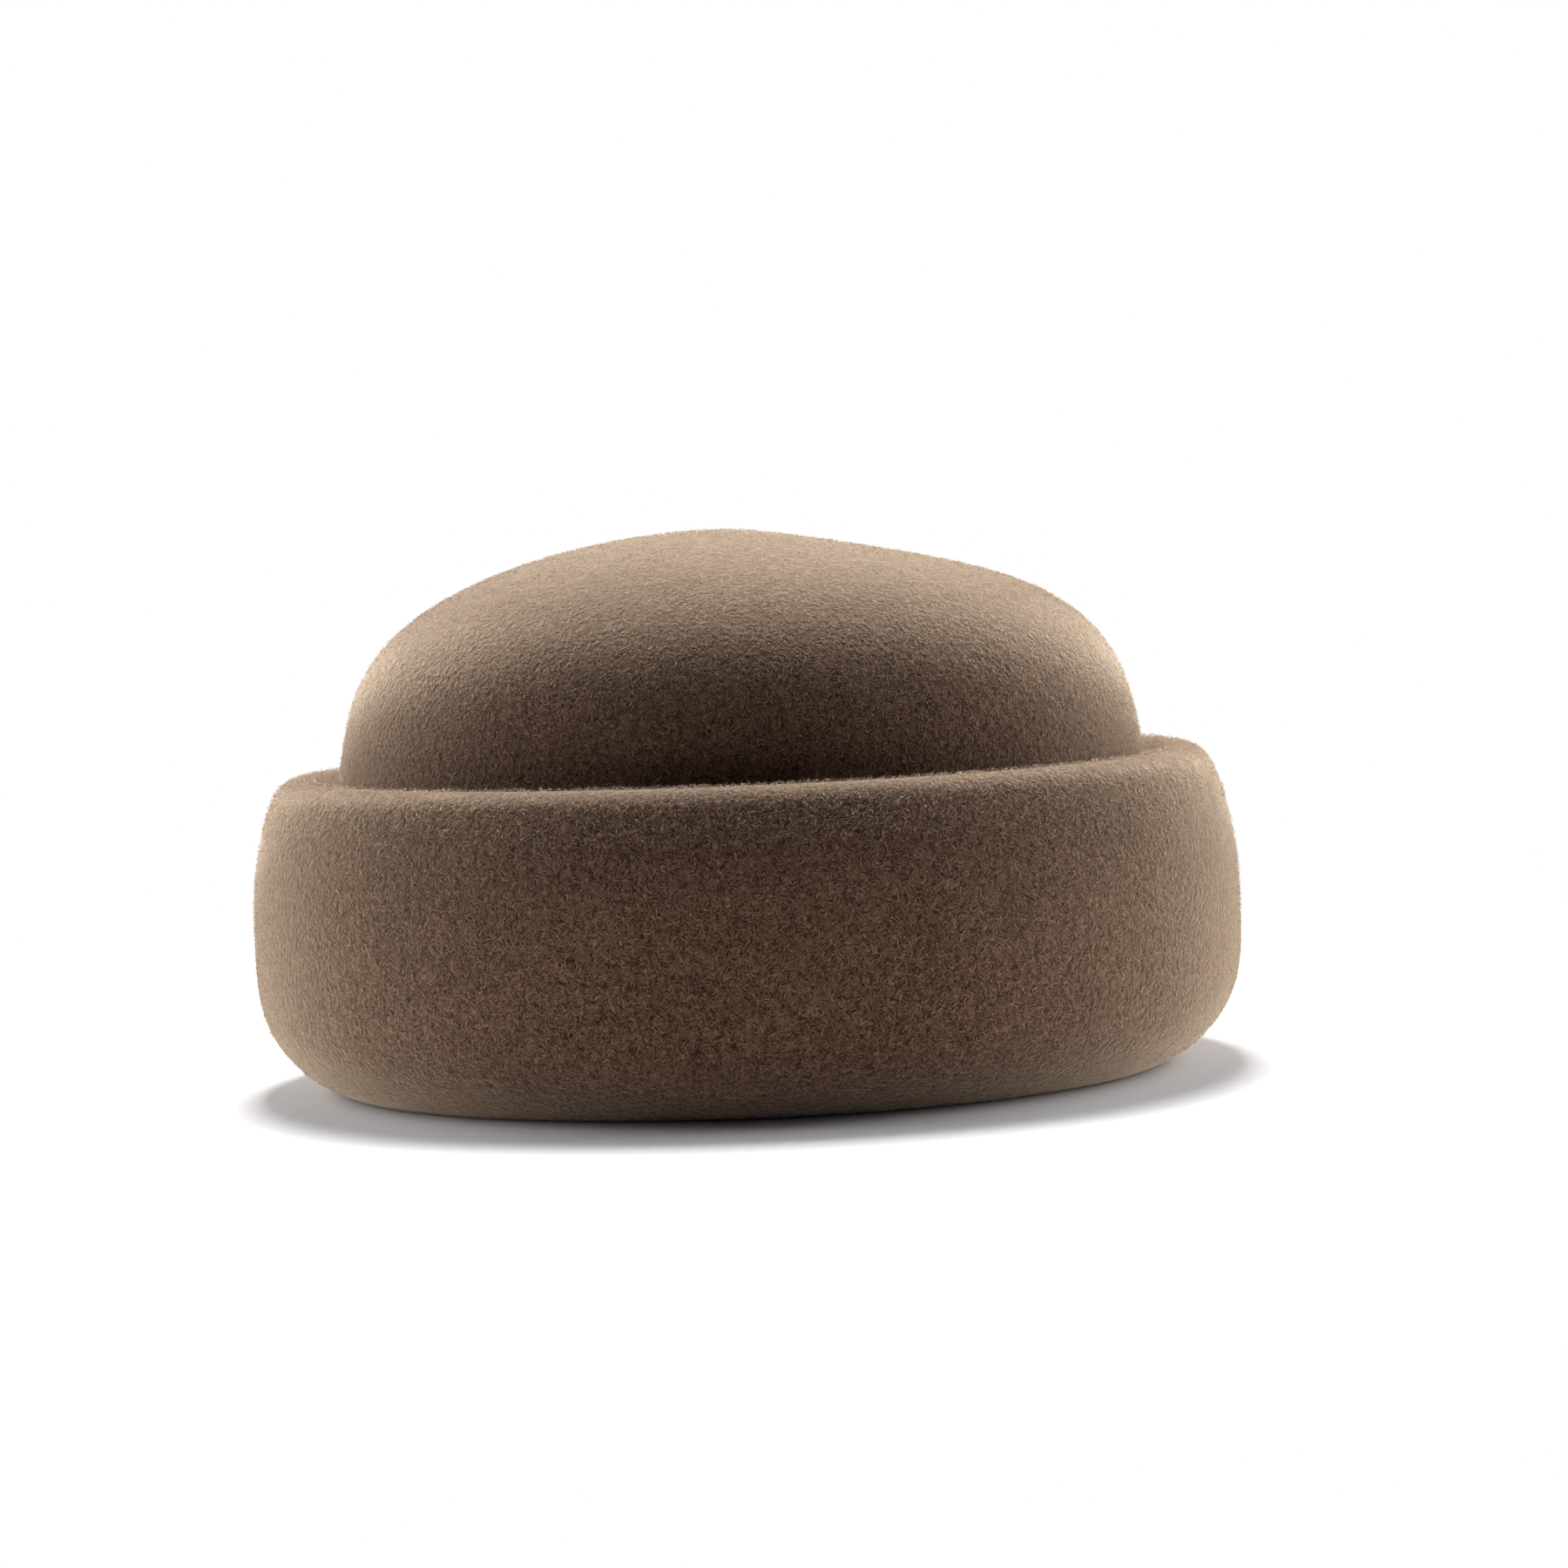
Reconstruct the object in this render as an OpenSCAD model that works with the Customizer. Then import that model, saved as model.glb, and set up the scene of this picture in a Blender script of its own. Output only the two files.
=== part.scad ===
// Felt bowler hat with a deep turned-up cuff, in millimetres.
// The head opening lies on z = 0 with +Z up. The front faces -Y and the wearer's left faces +X.
// Sections are drawn as [reach, height] points: reach is measured outward from the head oval.

/* [Head opening] */
// Length of the head opening inside the sweatband
head_length = 192; // [176:1:208]
// Width of the head opening inside the sweatband
head_width = 160; // [146:1:174]
// How much wider the oval is halfway to the back than halfway to the front
nape_fullness = 3; // [0:0.5:6]

/* [Felt] */
// Thickness of the felt
felt = 2.4; // [1.8:0.1:3]

/* [Crown] */
// Height of the crown above the rest plane
crown_height = 134.8; // [120:0.2:150]
// How far the crown wall leans in on its way up
crown_lean = 11.3; // [8:0.1:15]
// How much the crown top stands up in front and drops behind
crown_rake = 6.4; // [0:0.2:9]
// Squareness of the crown's shoulder
shoulder_power = 9.7; // [7:0.1:12]
// Fullness of the crown's top
top_power = 1.27; // [1.1:0.02:1.6]

/* [Brim] */
// Height of the collar that stands inside the crown
collar_height = 14; // [10:0.5:18]
// Inside radius of the bend at the foot of the collar
bend_inside = 0.3; // [0.2:0.1:0.8]
// Width of the flat land that the hat rests on
rest_land = 1; // [0.6:0.1:2]
// Reach of the cuff beyond the head opening at its widest
cuff_reach = 26.1; // [23:0.1:30]
// Height at which the cuff is widest
cuff_widest = 37; // [32:0.5:42]
// Height of the cuff's rim
cuff_height = 77; // [70:0.5:86]
// How far the cuff leans back in from its widest point to the rim fold
cuff_lean = 6.3; // [3:0.1:8]
// Gap between the rolled rim and the crown's side
roll_gap = 0.6; // [0.4:0.1:2]
// Depth of the hem that is turned to the inside of the rim
hem_depth = 18; // [12:0.5:24]

/* [Edge wire] */
// Diameter of the edge wire
wire_d = 1.2; // [0.8:0.1:1.6]
// Wall of the sleeve that joins the wire's ends
joiner_wall = 0.3; // [0.2:0.05:0.5]
// Length of the sleeve
joiner_length = 14; // [10:0.5:20]
// Gap between the two ends of the wire
wire_gap = 0.8; // [0.4:0.1:2]

/* [Sweatband] */
// Height of the leather sweatband
sweat_height = 48; // [38:0.5:54]
// Thickness of the leather
leather = 0.9; // [0.6:0.1:1.3]
// Gap between the two ends of the leather at the back
seam_gap = 0.6; // [0.3:0.1:1.2]
// Diameter of the reed along the sweatband's foot
reed_d = 1; // [0.8:0.1:1.4]
// Thickness of the reed tape
tape = 0.4; // [0.3:0.05:0.6]
// Height of the reed tape
tape_height = 9; // [6:0.5:12]

/* [Bow] */
// Length of the bow from tip to tip
bow_length = 30; // [22:1:36]
// Width of the bow's ribbon
bow_ribbon = 8; // [6:0.5:11]
// Thickness of the ribbon
ribbon = 0.5; // [0.3:0.05:0.7]
// How far each loop puffs out at its fullest
loop_puff = 2.6; // [1.5:0.1:4]
// Width of the knot round the bow's waist
knot_width = 6; // [4:0.5:8]
// Height of the bow's middle above the foot of the sweatband
bow_rise = 30; // [20:0.5:32]

/* [Lining] */
// Thickness of the lining cloth
satin = 0.4; // [0.3:0.05:0.6]
// Gap between the collar's top and the lining's lower edge
lining_lift = 3; // [1:0.5:8]
// Share of the crown's height at which the side lining meets the tip
lining_seam = 0.8; // [0.72:0.01:0.86]
// Diameter of the piping on that seam
piping_d = 2; // [1.4:0.1:2.6]

/* [Size ticket] */
// Width of the paper ticket
ticket_width = 18; // [12:1:26]
// Height of the ticket
ticket_height = 24; // [18:1:30]
// Length of the ticket that shows above the sweatband
ticket_show = 9; // [5:0.5:14]
// Thickness of the paper
paper = 0.3; // [0.2:0.05:0.4]

/* [Stitches] */
// Diameter of the sewing thread
thread_d = 0.5; // [0.3:0.05:0.7]
// Length of one stitch
stitch_length = 4; // [2.5:0.5:6]
// Distance from one stitch to the next
stitch_pitch = 8; // [7:0.5:12]
// Distance of a row of stitches from the edge that it holds
row_margin = 4; // [3:0.5:5]

/* [Fits] */
// Gap between neighbouring layers
ease = 0.2; // [0.1:0.05:0.3]
// Gap between a thread and the surface it lies on
lay = 0.2; // [0.15:0.05:0.3]

/* [Hidden] */

felt_colour = "#66503f";
leather_colour = "#5a3a26";
satin_colour = "#4a3328";
ribbon_colour = "#3d2c22";
tape_colour = "#4d4035";
thread_colour = "#8a7460";
steel_colour = "#9a9c9e";
paper_colour = "#e8e2d2";

// Points round a full turn of the oval, along the wire, and round a cord
turns = 64;
wire_steps = 72;
cord_sides = 8;
$fn = 24;

front = -90;
back = 90;

// Layers at the headline, from the sweatband outward
collar_reach = leather + 2 * ease + reed_d;
crown_inside = collar_reach + felt + ease;
crown_reach = crown_inside + felt;

// The brim: bend at the collar's foot, bowl up to the widest point, wall up to the rim fold
bend_r = felt + bend_inside;
bowl_foot = collar_reach + bend_r + rest_land;
bowl_flare = 1.15;
bowl_depth = 3.3;
wall_curl = 2.6;
joiner_r = wire_d / 2 + ease / 2 + joiner_wall;
wire_room = joiner_r + ease;

// Slant of the stitches across the sweatband's back seam
seam_stitch_tilt = 30;

// Point of the head oval pushed outward by a reach, at a turn angle
function oval(reach, turn) = [
    (head_width / 2 + reach) * cos(turn) * (1 + nape_fullness / head_width * sin(turn)),
    (head_length / 2 + reach) * sin(turn)
];

// A section point carried to a turn angle, and the heading of the oval there
function carried(point, turn) = concat(oval(point[0], turn), point[1]);
function heading(turn) =
    let (step = oval(0, turn + 0.5) - oval(0, turn - 0.5))
    atan2(step[1], step[0]);

// Turn angle taken by a length measured along the oval at the back
function back_angle(length) = asin(2 * length / (head_width + nape_fullness));

// Length once round the oval at a reach
function round_length(reach) = PI * (head_width / 2 + head_length / 2 + 2 * reach);

// Outside of the brim, from the collar's top down, round the bend and up the bowl
function bend_point(angle) = [
    collar_reach + bend_r + bend_r * cos(angle),
    bend_r + bend_r * sin(angle)
];
function bowl_point(climb) = [
    bowl_foot + (cuff_reach - bowl_foot) * pow(sin(climb), 2 / bowl_flare),
    cuff_widest * (1 - pow(cos(climb), 2 / bowl_depth))
];

bend_points = [for (angle = [180:18:270]) bend_point(angle)];
bowl_points = [for (climb = [0, 18, 30, 40, 50, 60, 68, 76, 83, 90]) bowl_point(climb)];
brim_foot = concat([[collar_reach, collar_height]], bend_points, bowl_points);

// Outward normal at a point of an outline
function outline_normal(points, i) =
    let (
        ahead = points[i + 1] - points[max(i - 1, 0)],
        n = [ahead[1], -ahead[0]]
    ) n / norm(n);

// The crown stands in the gutter on the brim's upper face
gutter_floor = [
    for (i = [len(bend_points):len(brim_foot) - 2])
        brim_foot[i] - felt * outline_normal(brim_foot, i)
];
crown_base = lookup(crown_reach, gutter_floor) + ease;

// Reach of the crown's side at a height
function crown_side(height) =
    let (rise = (height - crown_base) / (crown_height - crown_base))
    crown_reach - crown_lean * rise * rise * (head_width / 2 + crown_reach) / (head_length / 2 + crown_reach);

// Height of the wall below a roll of some radius, its tilt where the roll begins, and the height of the
// roll's middle above the rest plane
function wall_below(roll) =
    let (span = cuff_height - roll - cuff_widest)
    span + roll * sin(atan(cuff_lean * wall_curl / span));
function wall_tilt(roll) = atan(cuff_lean * wall_curl / wall_below(roll));
function roll_level(roll) = cuff_widest + wall_below(roll) - roll * sin(wall_tilt(roll));

// The roll fills the space from the cuff to the crown's side, and is found in three steps from its least
// radius
function roll_radius(guess) =
    (cuff_reach - cuff_lean - roll_gap - crown_side(roll_level(guess))) / (1 + cos(wall_tilt(guess)));
least_roll = felt + wire_room;
rim_r = max(least_roll, roll_radius(roll_radius(roll_radius(least_roll))));
roll_inside = rim_r - felt;
wall_rise = wall_below(rim_r);
hem_start = 1 - hem_depth / wall_rise;
hem_neck = 0.75 * hem_depth;

// Outside of the cuff wall and its outward normal, from the widest point (0) to the fold (1)
function wall_point(share) = [
    cuff_reach - cuff_lean * pow(share, wall_curl),
    cuff_widest + wall_rise * share
];
function wall_normal(share) =
    let (n = [wall_rise, cuff_lean * wall_curl * pow(share, wall_curl - 1)])
    n / norm(n);

wall_steps = 8;
brim_outside = concat(brim_foot, [for (k = [1:wall_steps]) wall_point(k / wall_steps)]);
brim_last = len(brim_outside) - 1;

// A point of the brim's outside sunk into the felt by a depth
function brim_normal(i) = i == brim_last ? wall_normal(1) : outline_normal(brim_outside, i);
function brim_sunk(i, depth) = brim_outside[i] - depth * brim_normal(i);
brim_inside = [for (i = [brim_last:-1:0]) brim_sunk(i, felt)];

// The rim is rolled over the wire, and the hem closes in on the wall on its way down
fold_angle = atan2(wall_normal(1)[1], wall_normal(1)[0]);
fold_centre = wall_point(1) - rim_r * wall_normal(1);
function fold_point(radius, angle) = fold_centre + radius * [cos(angle), sin(angle)];
wire_centre = fold_centre + [0, roll_inside - wire_room];
function hem_gap(share) =
    let (open = max(0, 1 - (1 - share) * wall_rise / hem_neck))
    ease + (2 * roll_inside - ease) * open * open * (3 - 2 * open);
function hem_point(share, layers) =
    wall_point(share) - wall_normal(share) * (layers * felt + hem_gap(share));
hem_steps = 8;
hem_shares = [for (k = [0:hem_steps]) 1 - (1 - hem_start) * k / hem_steps];

brim_section = concat(
    brim_outside,
    [for (a = [22.5:22.5:157.5]) fold_point(rim_r, fold_angle + a)],
    [for (share = hem_shares) hem_point(share, 2)],
    [for (k = [hem_steps:-1:0]) hem_point(hem_shares[k], 1)],
    [for (a = [157.5:-22.5:22.5]) fold_point(roll_inside, fold_angle + a)],
    brim_inside
);

// Point of a crown-shaped surface: sunk into the crown by a depth, at a climb from base (0) to top (90)
function dome(depth, climb, turn) =
    let (
        rise = pow(sin(climb), 2 / shoulder_power),
        lean = crown_lean * rise * rise / (head_length / 2 + crown_reach),
        spread = pow(cos(climb), 2 / top_power) * (1 - lean),
        plan = oval(crown_reach - depth, turn) * spread,
        tip = crown_rake * sin(turn) * spread * pow(1 - spread * spread, 3)
    )
    concat(plan, crown_base + rise * (crown_height - depth - crown_base) - tip);
function climb_at(rise) = asin(pow(rise, shoulder_power / 2));
function dome_ring(depth, climb) = [for (k = [0:turns - 1]) dome(depth, climb, k * 360 / turns)];

// Climbs of the crown's rings: even steps up the wall, then steps that close in on the shoulder
wall_top = 0.36;
crest = 87;
shoulder_steps = 14;
shoulder_crowding = 1.8;
function wall_climbs(first) = [for (k = [0:2]) climb_at(first + (wall_top - first) * k / 3)];
function shoulder_climb(k) =
    climb_at(wall_top) + (crest - climb_at(wall_top)) * pow(k / shoulder_steps, shoulder_crowding);
shoulder_climbs = [for (k = [0:shoulder_steps]) shoulder_climb(k)];

// The lining lies against the crown's inside
lining_depth = felt + ease;
lining_face = lining_depth + satin;
lining_foot = collar_height + lining_lift;
lining_rise = (lining_foot - crown_base) / (crown_height - lining_depth - crown_base);
seam_climb = climb_at(lining_seam);
seam_split = 0.3;

// The bow is tied on the sweatband's back seam, over the seam's stitches
knot_back = -(lay + thread_d + ease);
loop_back = knot_back - ribbon - ease;
waist = 2 * ribbon + ease;
knot_share = (knot_width + 2 * ease) / bow_length;
loop_steps = 12;
knot_depth = waist + 2 * (ribbon + ease);
knot_tall = bow_ribbon + 2 * (ribbon + ease);
sweat_foot = ease;
bow_middle = sweat_foot + bow_rise;

// The ticket stands between the sweatband and the lining, behind the wearer's left ear
ticket_turn = 52;
ticket_reach = leather + ease;
ticket_foot = sweat_foot + sweat_height + ticket_show - ticket_height;

// Solid through a row of rings with equal counts: joined end to end, or capped at both ends
module skin(rings, joined) {
    n = len(rings[0]);
    m = len(rings);
    walls = [
        for (i = [0:joined ? m - 1 : m - 2])
            for (k = [0:n - 1])
                let (
                    a = i * n + k,
                    b = i * n + (k + 1) % n,
                    c = ((i + 1) % m) * n + (k + 1) % n,
                    d = ((i + 1) % m) * n + k
                )
                each [[a, c, b], [a, d, c]]
    ];
    first_cap = [for (k = [1:n - 2]) [0, k, k + 1]];
    last_cap = [for (k = [1:n - 2]) [(m - 1) * n, (m - 1) * n + k + 1, (m - 1) * n + k]];
    polyhedron(
        points = [for (ring = rings) each ring],
        faces = joined ? walls : concat(walls, first_cap, last_cap)
    );
}

// Closed ring with one section all round the oval
module oval_ring(section) {
    skin([for (p = section) [for (k = [0:turns - 1]) carried(p, k * 360 / turns)]], true);
}

// Ring of points round a cord that follows the oval at a section point
function cord_ring(centre, radius, turn) = [
    for (k = [0:cord_sides - 1])
        let (a = k * 360 / cord_sides)
        carried(centre + radius * [cos(a), -sin(a)], turn)
];

// Strip of sheet that follows the oval between two reaches and two turn angles
function strip(inner, outer, first, last, steps) = concat(
    [for (k = [0:steps]) oval(outer, first + (last - first) * k / steps)],
    [for (k = [steps:-1:0]) oval(inner, first + (last - first) * k / steps)]
);

// Rectangle with round corners, centred
function round_rectangle(width, height, radius) = [
    for (corner = [[1, 1, 0], [-1, 1, 90], [-1, -1, 180], [1, -1, 270]])
        for (a = [0:30:90])
            [
                corner[0] * (width / 2 - radius) + radius * cos(corner[2] + a),
                corner[1] * (height / 2 - radius) + radius * sin(corner[2] + a)
            ]
];

// One straight stitch of thread
module stitch(place, turn_z, tilt = 0) {
    translate(place)
        rotate([0, 0, turn_z])
            rotate([0, 90 + tilt, 0])
                cylinder(h = stitch_length, d = thread_d, center = true);
}

// Row of stitches round the oval at one section point
module stitch_row(centre) {
    count = floor(round_length(centre[0]) / stitch_pitch);
    for (k = [0:count - 1])
        let (turn = front + (k + 0.5) * 360 / count)
            stitch(carried(centre, turn), heading(turn));
}

// Felt crown, blocked to a dome
module crown() {
    climbs = concat(wall_climbs(0), shoulder_climbs);
    inner = [for (climb = climbs) dome_ring(felt, climb)];
    outer = [for (climb = climbs) dome_ring(0, climb)];
    color(felt_colour)
        skin(concat([for (i = [len(inner) - 1:-1:0]) inner[i]], outer), false);
}

// Felt brim: collar, bowl, upright cuff and the rim rolled over the wire
module brim_cuff() {
    color(felt_colour)
        oval_ring(brim_section);
}

// Wire at the top of the rim's roll, with its rings crowded towards the ends inside the sleeve
module edge_wire() {
    first = back + back_angle(wire_gap / 2);
    span = 360 - 2 * back_angle(wire_gap / 2);
    color(steel_colour)
        skin(
            [for (k = [0:wire_steps])
                cord_ring(wire_centre, wire_d / 2, first + span * (1 - cos(180 * k / wire_steps)) / 2)],
            false
        );
}

// Sleeve over the wire's two ends
module wire_joiner() {
    half = back_angle(joiner_length / 2);
    spots = [-1:0.25:1];
    outer = [for (s = spots) cord_ring(wire_centre, joiner_r, back + half * s)];
    inner = [for (s = spots) cord_ring(wire_centre, joiner_r - joiner_wall, back - half * s)];
    color(steel_colour)
        skin(concat(outer, inner), true);
}

// Thread along the lower edge of the hem
module hem_stitches() {
    share = hem_start + row_margin / wall_rise;
    color(thread_colour)
        stitch_row(hem_point(share, 2) - wall_normal(share) * (lay + thread_d / 2));
}

// Thread that holds the crown to the collar
module headline_stitches() {
    color(thread_colour)
        stitch_row([crown_reach + lay + thread_d / 2, crown_base + row_margin]);
}

// Leather band with its ends meeting at the back
module sweatband() {
    half = back_angle(seam_gap / 2);
    color(leather_colour)
        translate([0, 0, sweat_foot])
            linear_extrude(sweat_height)
                polygon(strip(0, leather, back + half, back + 360 - half, 2 * turns));
}

// Reed that stiffens the foot of the sweatband
module sweatband_reed() {
    centre = [leather + ease + reed_d / 2, sweat_foot + reed_d / 2];
    color(tape_colour)
        oval_ring([
            for (k = [0:cord_sides - 1])
                centre + reed_d / 2 * [cos(k * 360 / cord_sides), sin(k * 360 / cord_sides)]
        ]);
}

// Tape that carries the sweatband above the reed
module reed_tape() {
    half = back_angle(seam_gap / 2);
    reach = leather + ease;
    color(tape_colour)
        translate([0, 0, sweat_foot + reed_d + ease])
            linear_extrude(tape_height)
                polygon(strip(reach, reach + tape, back + half, back + 360 - half, 2 * turns));
}

// Thread through the sweatband and its tape
module sweatband_stitches() {
    color(thread_colour)
        stitch_row([-lay - thread_d / 2, sweat_foot + row_margin]);
}

// Slanted thread across the sweatband's back seam
module back_seam_stitches() {
    rows = floor((sweat_height - 3 * row_margin) / row_margin);
    for (k = [0:rows - 1])
        color(thread_colour)
            stitch(
                carried([-lay - thread_d / 2, sweat_foot + row_margin * (k + 2)], back),
                heading(back),
                seam_stitch_tilt
            );
}

// Outline of the bow as seen from above: spots run along it from one tip (-1) to the other (1)
function loop_depth(spot) =
    waist + loop_puff * sin(180 * max(0, abs(spot) - knot_share) / (1 - knot_share));
function loop_spots(last) = [for (k = [0:loop_steps]) knot_share + (last - knot_share) * k / loop_steps];
function loop_turn(spot) = back + spot * back_angle(bow_length / 2);
function loop_outline(spots, shell) = concat(
    [for (spot = spots) oval(loop_back - shell, loop_turn(spot))],
    [for (k = [len(spots) - 1:-1:0])
        oval(loop_back - loop_depth(spots[k]) + shell, loop_turn(spots[k]))]
);

// Two ribbon loops, pinched at the waist and open inside
module bow_loops() {
    hollow_last = 1 - 2 * ribbon / bow_length;
    half_bow = loop_spots(1);
    whole_bow = concat([for (k = [loop_steps:-1:0]) -half_bow[k]], half_bow);
    color(ribbon_colour)
        translate([0, 0, bow_middle - bow_ribbon / 2])
            linear_extrude(bow_ribbon)
                difference() {
                    polygon(loop_outline(whole_bow, 0));
                    for (side = [-1, 1])
                        polygon(loop_outline(side * loop_spots(hollow_last), ribbon));
                }
}

// Knot of ribbon round the bow's waist
module bow_knot() {
    middle = head_length / 2 + knot_back - knot_depth / 2;
    color(ribbon_colour)
        translate([-knot_width / 2, middle, bow_middle])
            rotate([90, 0, 90])
                linear_extrude(knot_width)
                    difference() {
                        polygon(round_rectangle(knot_depth, knot_tall, ribbon));
                        square([knot_depth - 2 * ribbon, knot_tall - 2 * ribbon], center = true);
                    }
}

// Satin round the crown's wall
module lining_side() {
    climbs = concat(
        wall_climbs(lining_rise),
        [for (climb = shoulder_climbs) if (climb < seam_climb - seam_split) climb],
        [seam_climb]
    );
    outer = [for (climb = climbs) dome_ring(lining_depth, climb)];
    inner = [for (i = [len(climbs) - 1:-1:0]) dome_ring(lining_face, climbs[i])];
    color(satin_colour)
        skin(concat(outer, inner), true);
}

// Satin oval under the crown's top
module lining_tip() {
    climbs = concat(
        [seam_climb + seam_split],
        [for (k = [0:2:shoulder_steps])
            if (shoulder_climb(k) > seam_climb + 2 * seam_split) shoulder_climb(k)]
    );
    inner = [for (i = [len(climbs) - 1:-1:0]) dome_ring(lining_face, climbs[i])];
    outer = [for (climb = climbs) dome_ring(lining_depth, climb)];
    color(satin_colour)
        skin(concat(inner, outer), false);
}

// Corded piping over the seam of the lining
module lining_piping() {
    middle = lining_face + ease + piping_d / 2;
    color(ribbon_colour)
        skin([
            for (k = [0:cord_sides - 1])
                let (a = k * 360 / cord_sides)
                [
                    for (point = dome_ring(middle, seam_climb))
                        let (out = [point[0], point[1], 0] / norm([point[0], point[1]]))
                        point + piping_d / 2 * (out * cos(a) + [0, 0, sin(a)])
                ]
        ], true);
}

// Thread that tacks the lining's lower edge to the crown
module lining_stitches() {
    depth = lining_face + lay + thread_d / 2;
    climb = climb_at((lining_foot + row_margin - crown_base) / (crown_height - depth - crown_base));
    count = floor(round_length(0) / stitch_pitch);
    color(thread_colour)
        for (k = [0:count - 1])
            let (turn = front + (k + 0.5) * 360 / count)
                stitch(dome(depth, climb, turn), heading(turn));
}

// Bare paper ticket tucked behind the sweatband
module size_ticket() {
    half = back_angle(ticket_width / 2);
    color(paper_colour)
        translate([0, 0, ticket_foot])
            linear_extrude(ticket_height)
                polygon(strip(ticket_reach, ticket_reach + paper, ticket_turn - half, ticket_turn + half, 8));
}

crown();
brim_cuff();
edge_wire();
wire_joiner();
hem_stitches();
headline_stitches();
sweatband();
sweatband_reed();
reed_tape();
sweatband_stitches();
back_seam_stitches();
bow_loops();
bow_knot();
lining_side();
lining_tip();
lining_piping();
lining_stitches();
size_ticket();
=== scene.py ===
"""Brown felt bowler hat with a deep turned-up cuff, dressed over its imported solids.

Lengths are metres, written with MM where a size is given in millimetres. The frame is that of the
solids: +Z up, the front at -Y, the wearer's left at +X, the origin on the rest plane in the middle of
the head opening.
"""

import logging
import math
from dataclasses import dataclass, field
from enum import Enum

import bpy
import numpy as np
from mathutils import Matrix, Vector


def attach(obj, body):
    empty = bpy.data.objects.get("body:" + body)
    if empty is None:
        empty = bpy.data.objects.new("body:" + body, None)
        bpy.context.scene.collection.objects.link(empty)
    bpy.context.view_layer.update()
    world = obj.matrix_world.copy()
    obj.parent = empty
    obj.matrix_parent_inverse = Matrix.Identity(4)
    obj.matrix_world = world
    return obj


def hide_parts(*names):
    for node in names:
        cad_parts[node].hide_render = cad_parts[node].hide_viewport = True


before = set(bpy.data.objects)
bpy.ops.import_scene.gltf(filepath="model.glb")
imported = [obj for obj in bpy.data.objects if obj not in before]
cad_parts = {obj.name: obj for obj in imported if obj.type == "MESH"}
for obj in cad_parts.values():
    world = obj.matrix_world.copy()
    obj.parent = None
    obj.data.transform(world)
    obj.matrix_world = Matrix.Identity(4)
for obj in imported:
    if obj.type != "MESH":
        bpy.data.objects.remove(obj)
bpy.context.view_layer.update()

LOG = logging.getLogger("bowler_hat")
MM = 0.001
FULL_TURN = 2 * math.pi
FRONT = -math.pi / 2
BACK = math.pi / 2
WHITE = (1.0, 1.0, 1.0)
HALF = (0.5, 0.5, 0.5)
LENGTHS = "Lengths"
BAKE = "OFBake"
EDGE_POINTS = 7

Triple = tuple[float, float, float]
# Height of each wave, its count round the hat and the angle that it starts at.
Waves = tuple[tuple[float, int, float], ...]
Piece = bpy.types.Object
Socket = bpy.types.NodeSocket


class Closing(Enum):
    """How a grid of points becomes a closed skin."""

    RING = "rows and columns both run round"
    CAPPED = "columns run round, and a fan closes the first and the last row"


class Along(Enum):
    """Axis of a piece's map of lengths."""

    COLUMNS = 0
    ROWS = 1


class Output(Enum):
    """Kind of result that is taken from a node."""

    NUMBER = "Fac"
    COLOUR = "Color"
    VECTOR = "Vector"
    VALUE = "Value"


class Ease(Enum):
    """How a value goes from one end of a range to the other."""

    STRAIGHT = "LINEAR"
    SMOOTH = "SMOOTHSTEP"


class Facing(Enum):
    """Side of the head oval that a face looks to."""

    OUTWARD = 1
    INWARD = -1


def round_angles(count: int) -> np.ndarray:
    """Angles of even steps once round, from 0."""
    return np.arange(count) / count * FULL_TURN


def unit(vectors: np.ndarray) -> np.ndarray:
    """Vectors of length 1 in the same directions."""
    return vectors / np.linalg.norm(vectors, axis=-1, keepdims=True)


def turned_right(vectors: np.ndarray) -> np.ndarray:
    """Vectors in a plane, ... x 2, after a quarter turn to the right."""
    return np.stack([vectors[..., 1], -vectors[..., 0]], axis=-1)


def off_ring(line: np.ndarray) -> np.ndarray:
    """Directions straight off a closed line in a plane, at each of its points x 2."""
    return turned_right(unit(np.roll(line, -1, axis=0) - np.roll(line, 1, axis=0)))


def wave_sum(turn: np.ndarray, waves: Waves) -> np.ndarray:
    """Sum of waves round the hat: height times sin(count times the turn + start) for each wave."""
    return sum(height * np.sin(count * turn + start) for height, count, start in waves)


def skin_faces(rows: int, columns: int, closing: Closing) -> tuple[np.ndarray, np.ndarray]:
    """Corner numbers of a skin's faces on an unwrapped grid.

    Point (i, j) of the unwrapped grid has the number i * (columns + 1) + j, so that the last column is
    the first one again. A capped skin has two further points, in the middle of its two ends.

    Args:
        rows: Rows of points.
        columns: Columns of points, without the repeated one.
        closing: How the grid is closed.

    Returns:
        The four-sided faces and the three-sided ones.
    """
    stride = columns + 1
    last = rows if closing is Closing.RING else rows - 1
    corner = (np.arange(last)[:, None] * stride + np.arange(columns)).ravel()
    quads = np.stack([corner, corner + 1, corner + 1 + stride, corner + stride], axis=1)
    if closing is Closing.RING:
        return quads, np.zeros((0, 3), int)
    first_row = np.arange(columns)
    last_row = (rows - 1) * stride + first_row
    first_middle = np.full(columns, rows * stride)
    fans = [
        np.stack([first_row + 1, first_row, first_middle], axis=1),
        np.stack([last_row, last_row + 1, first_middle + 1], axis=1),
    ]
    return quads, np.concatenate(fans)


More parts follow.
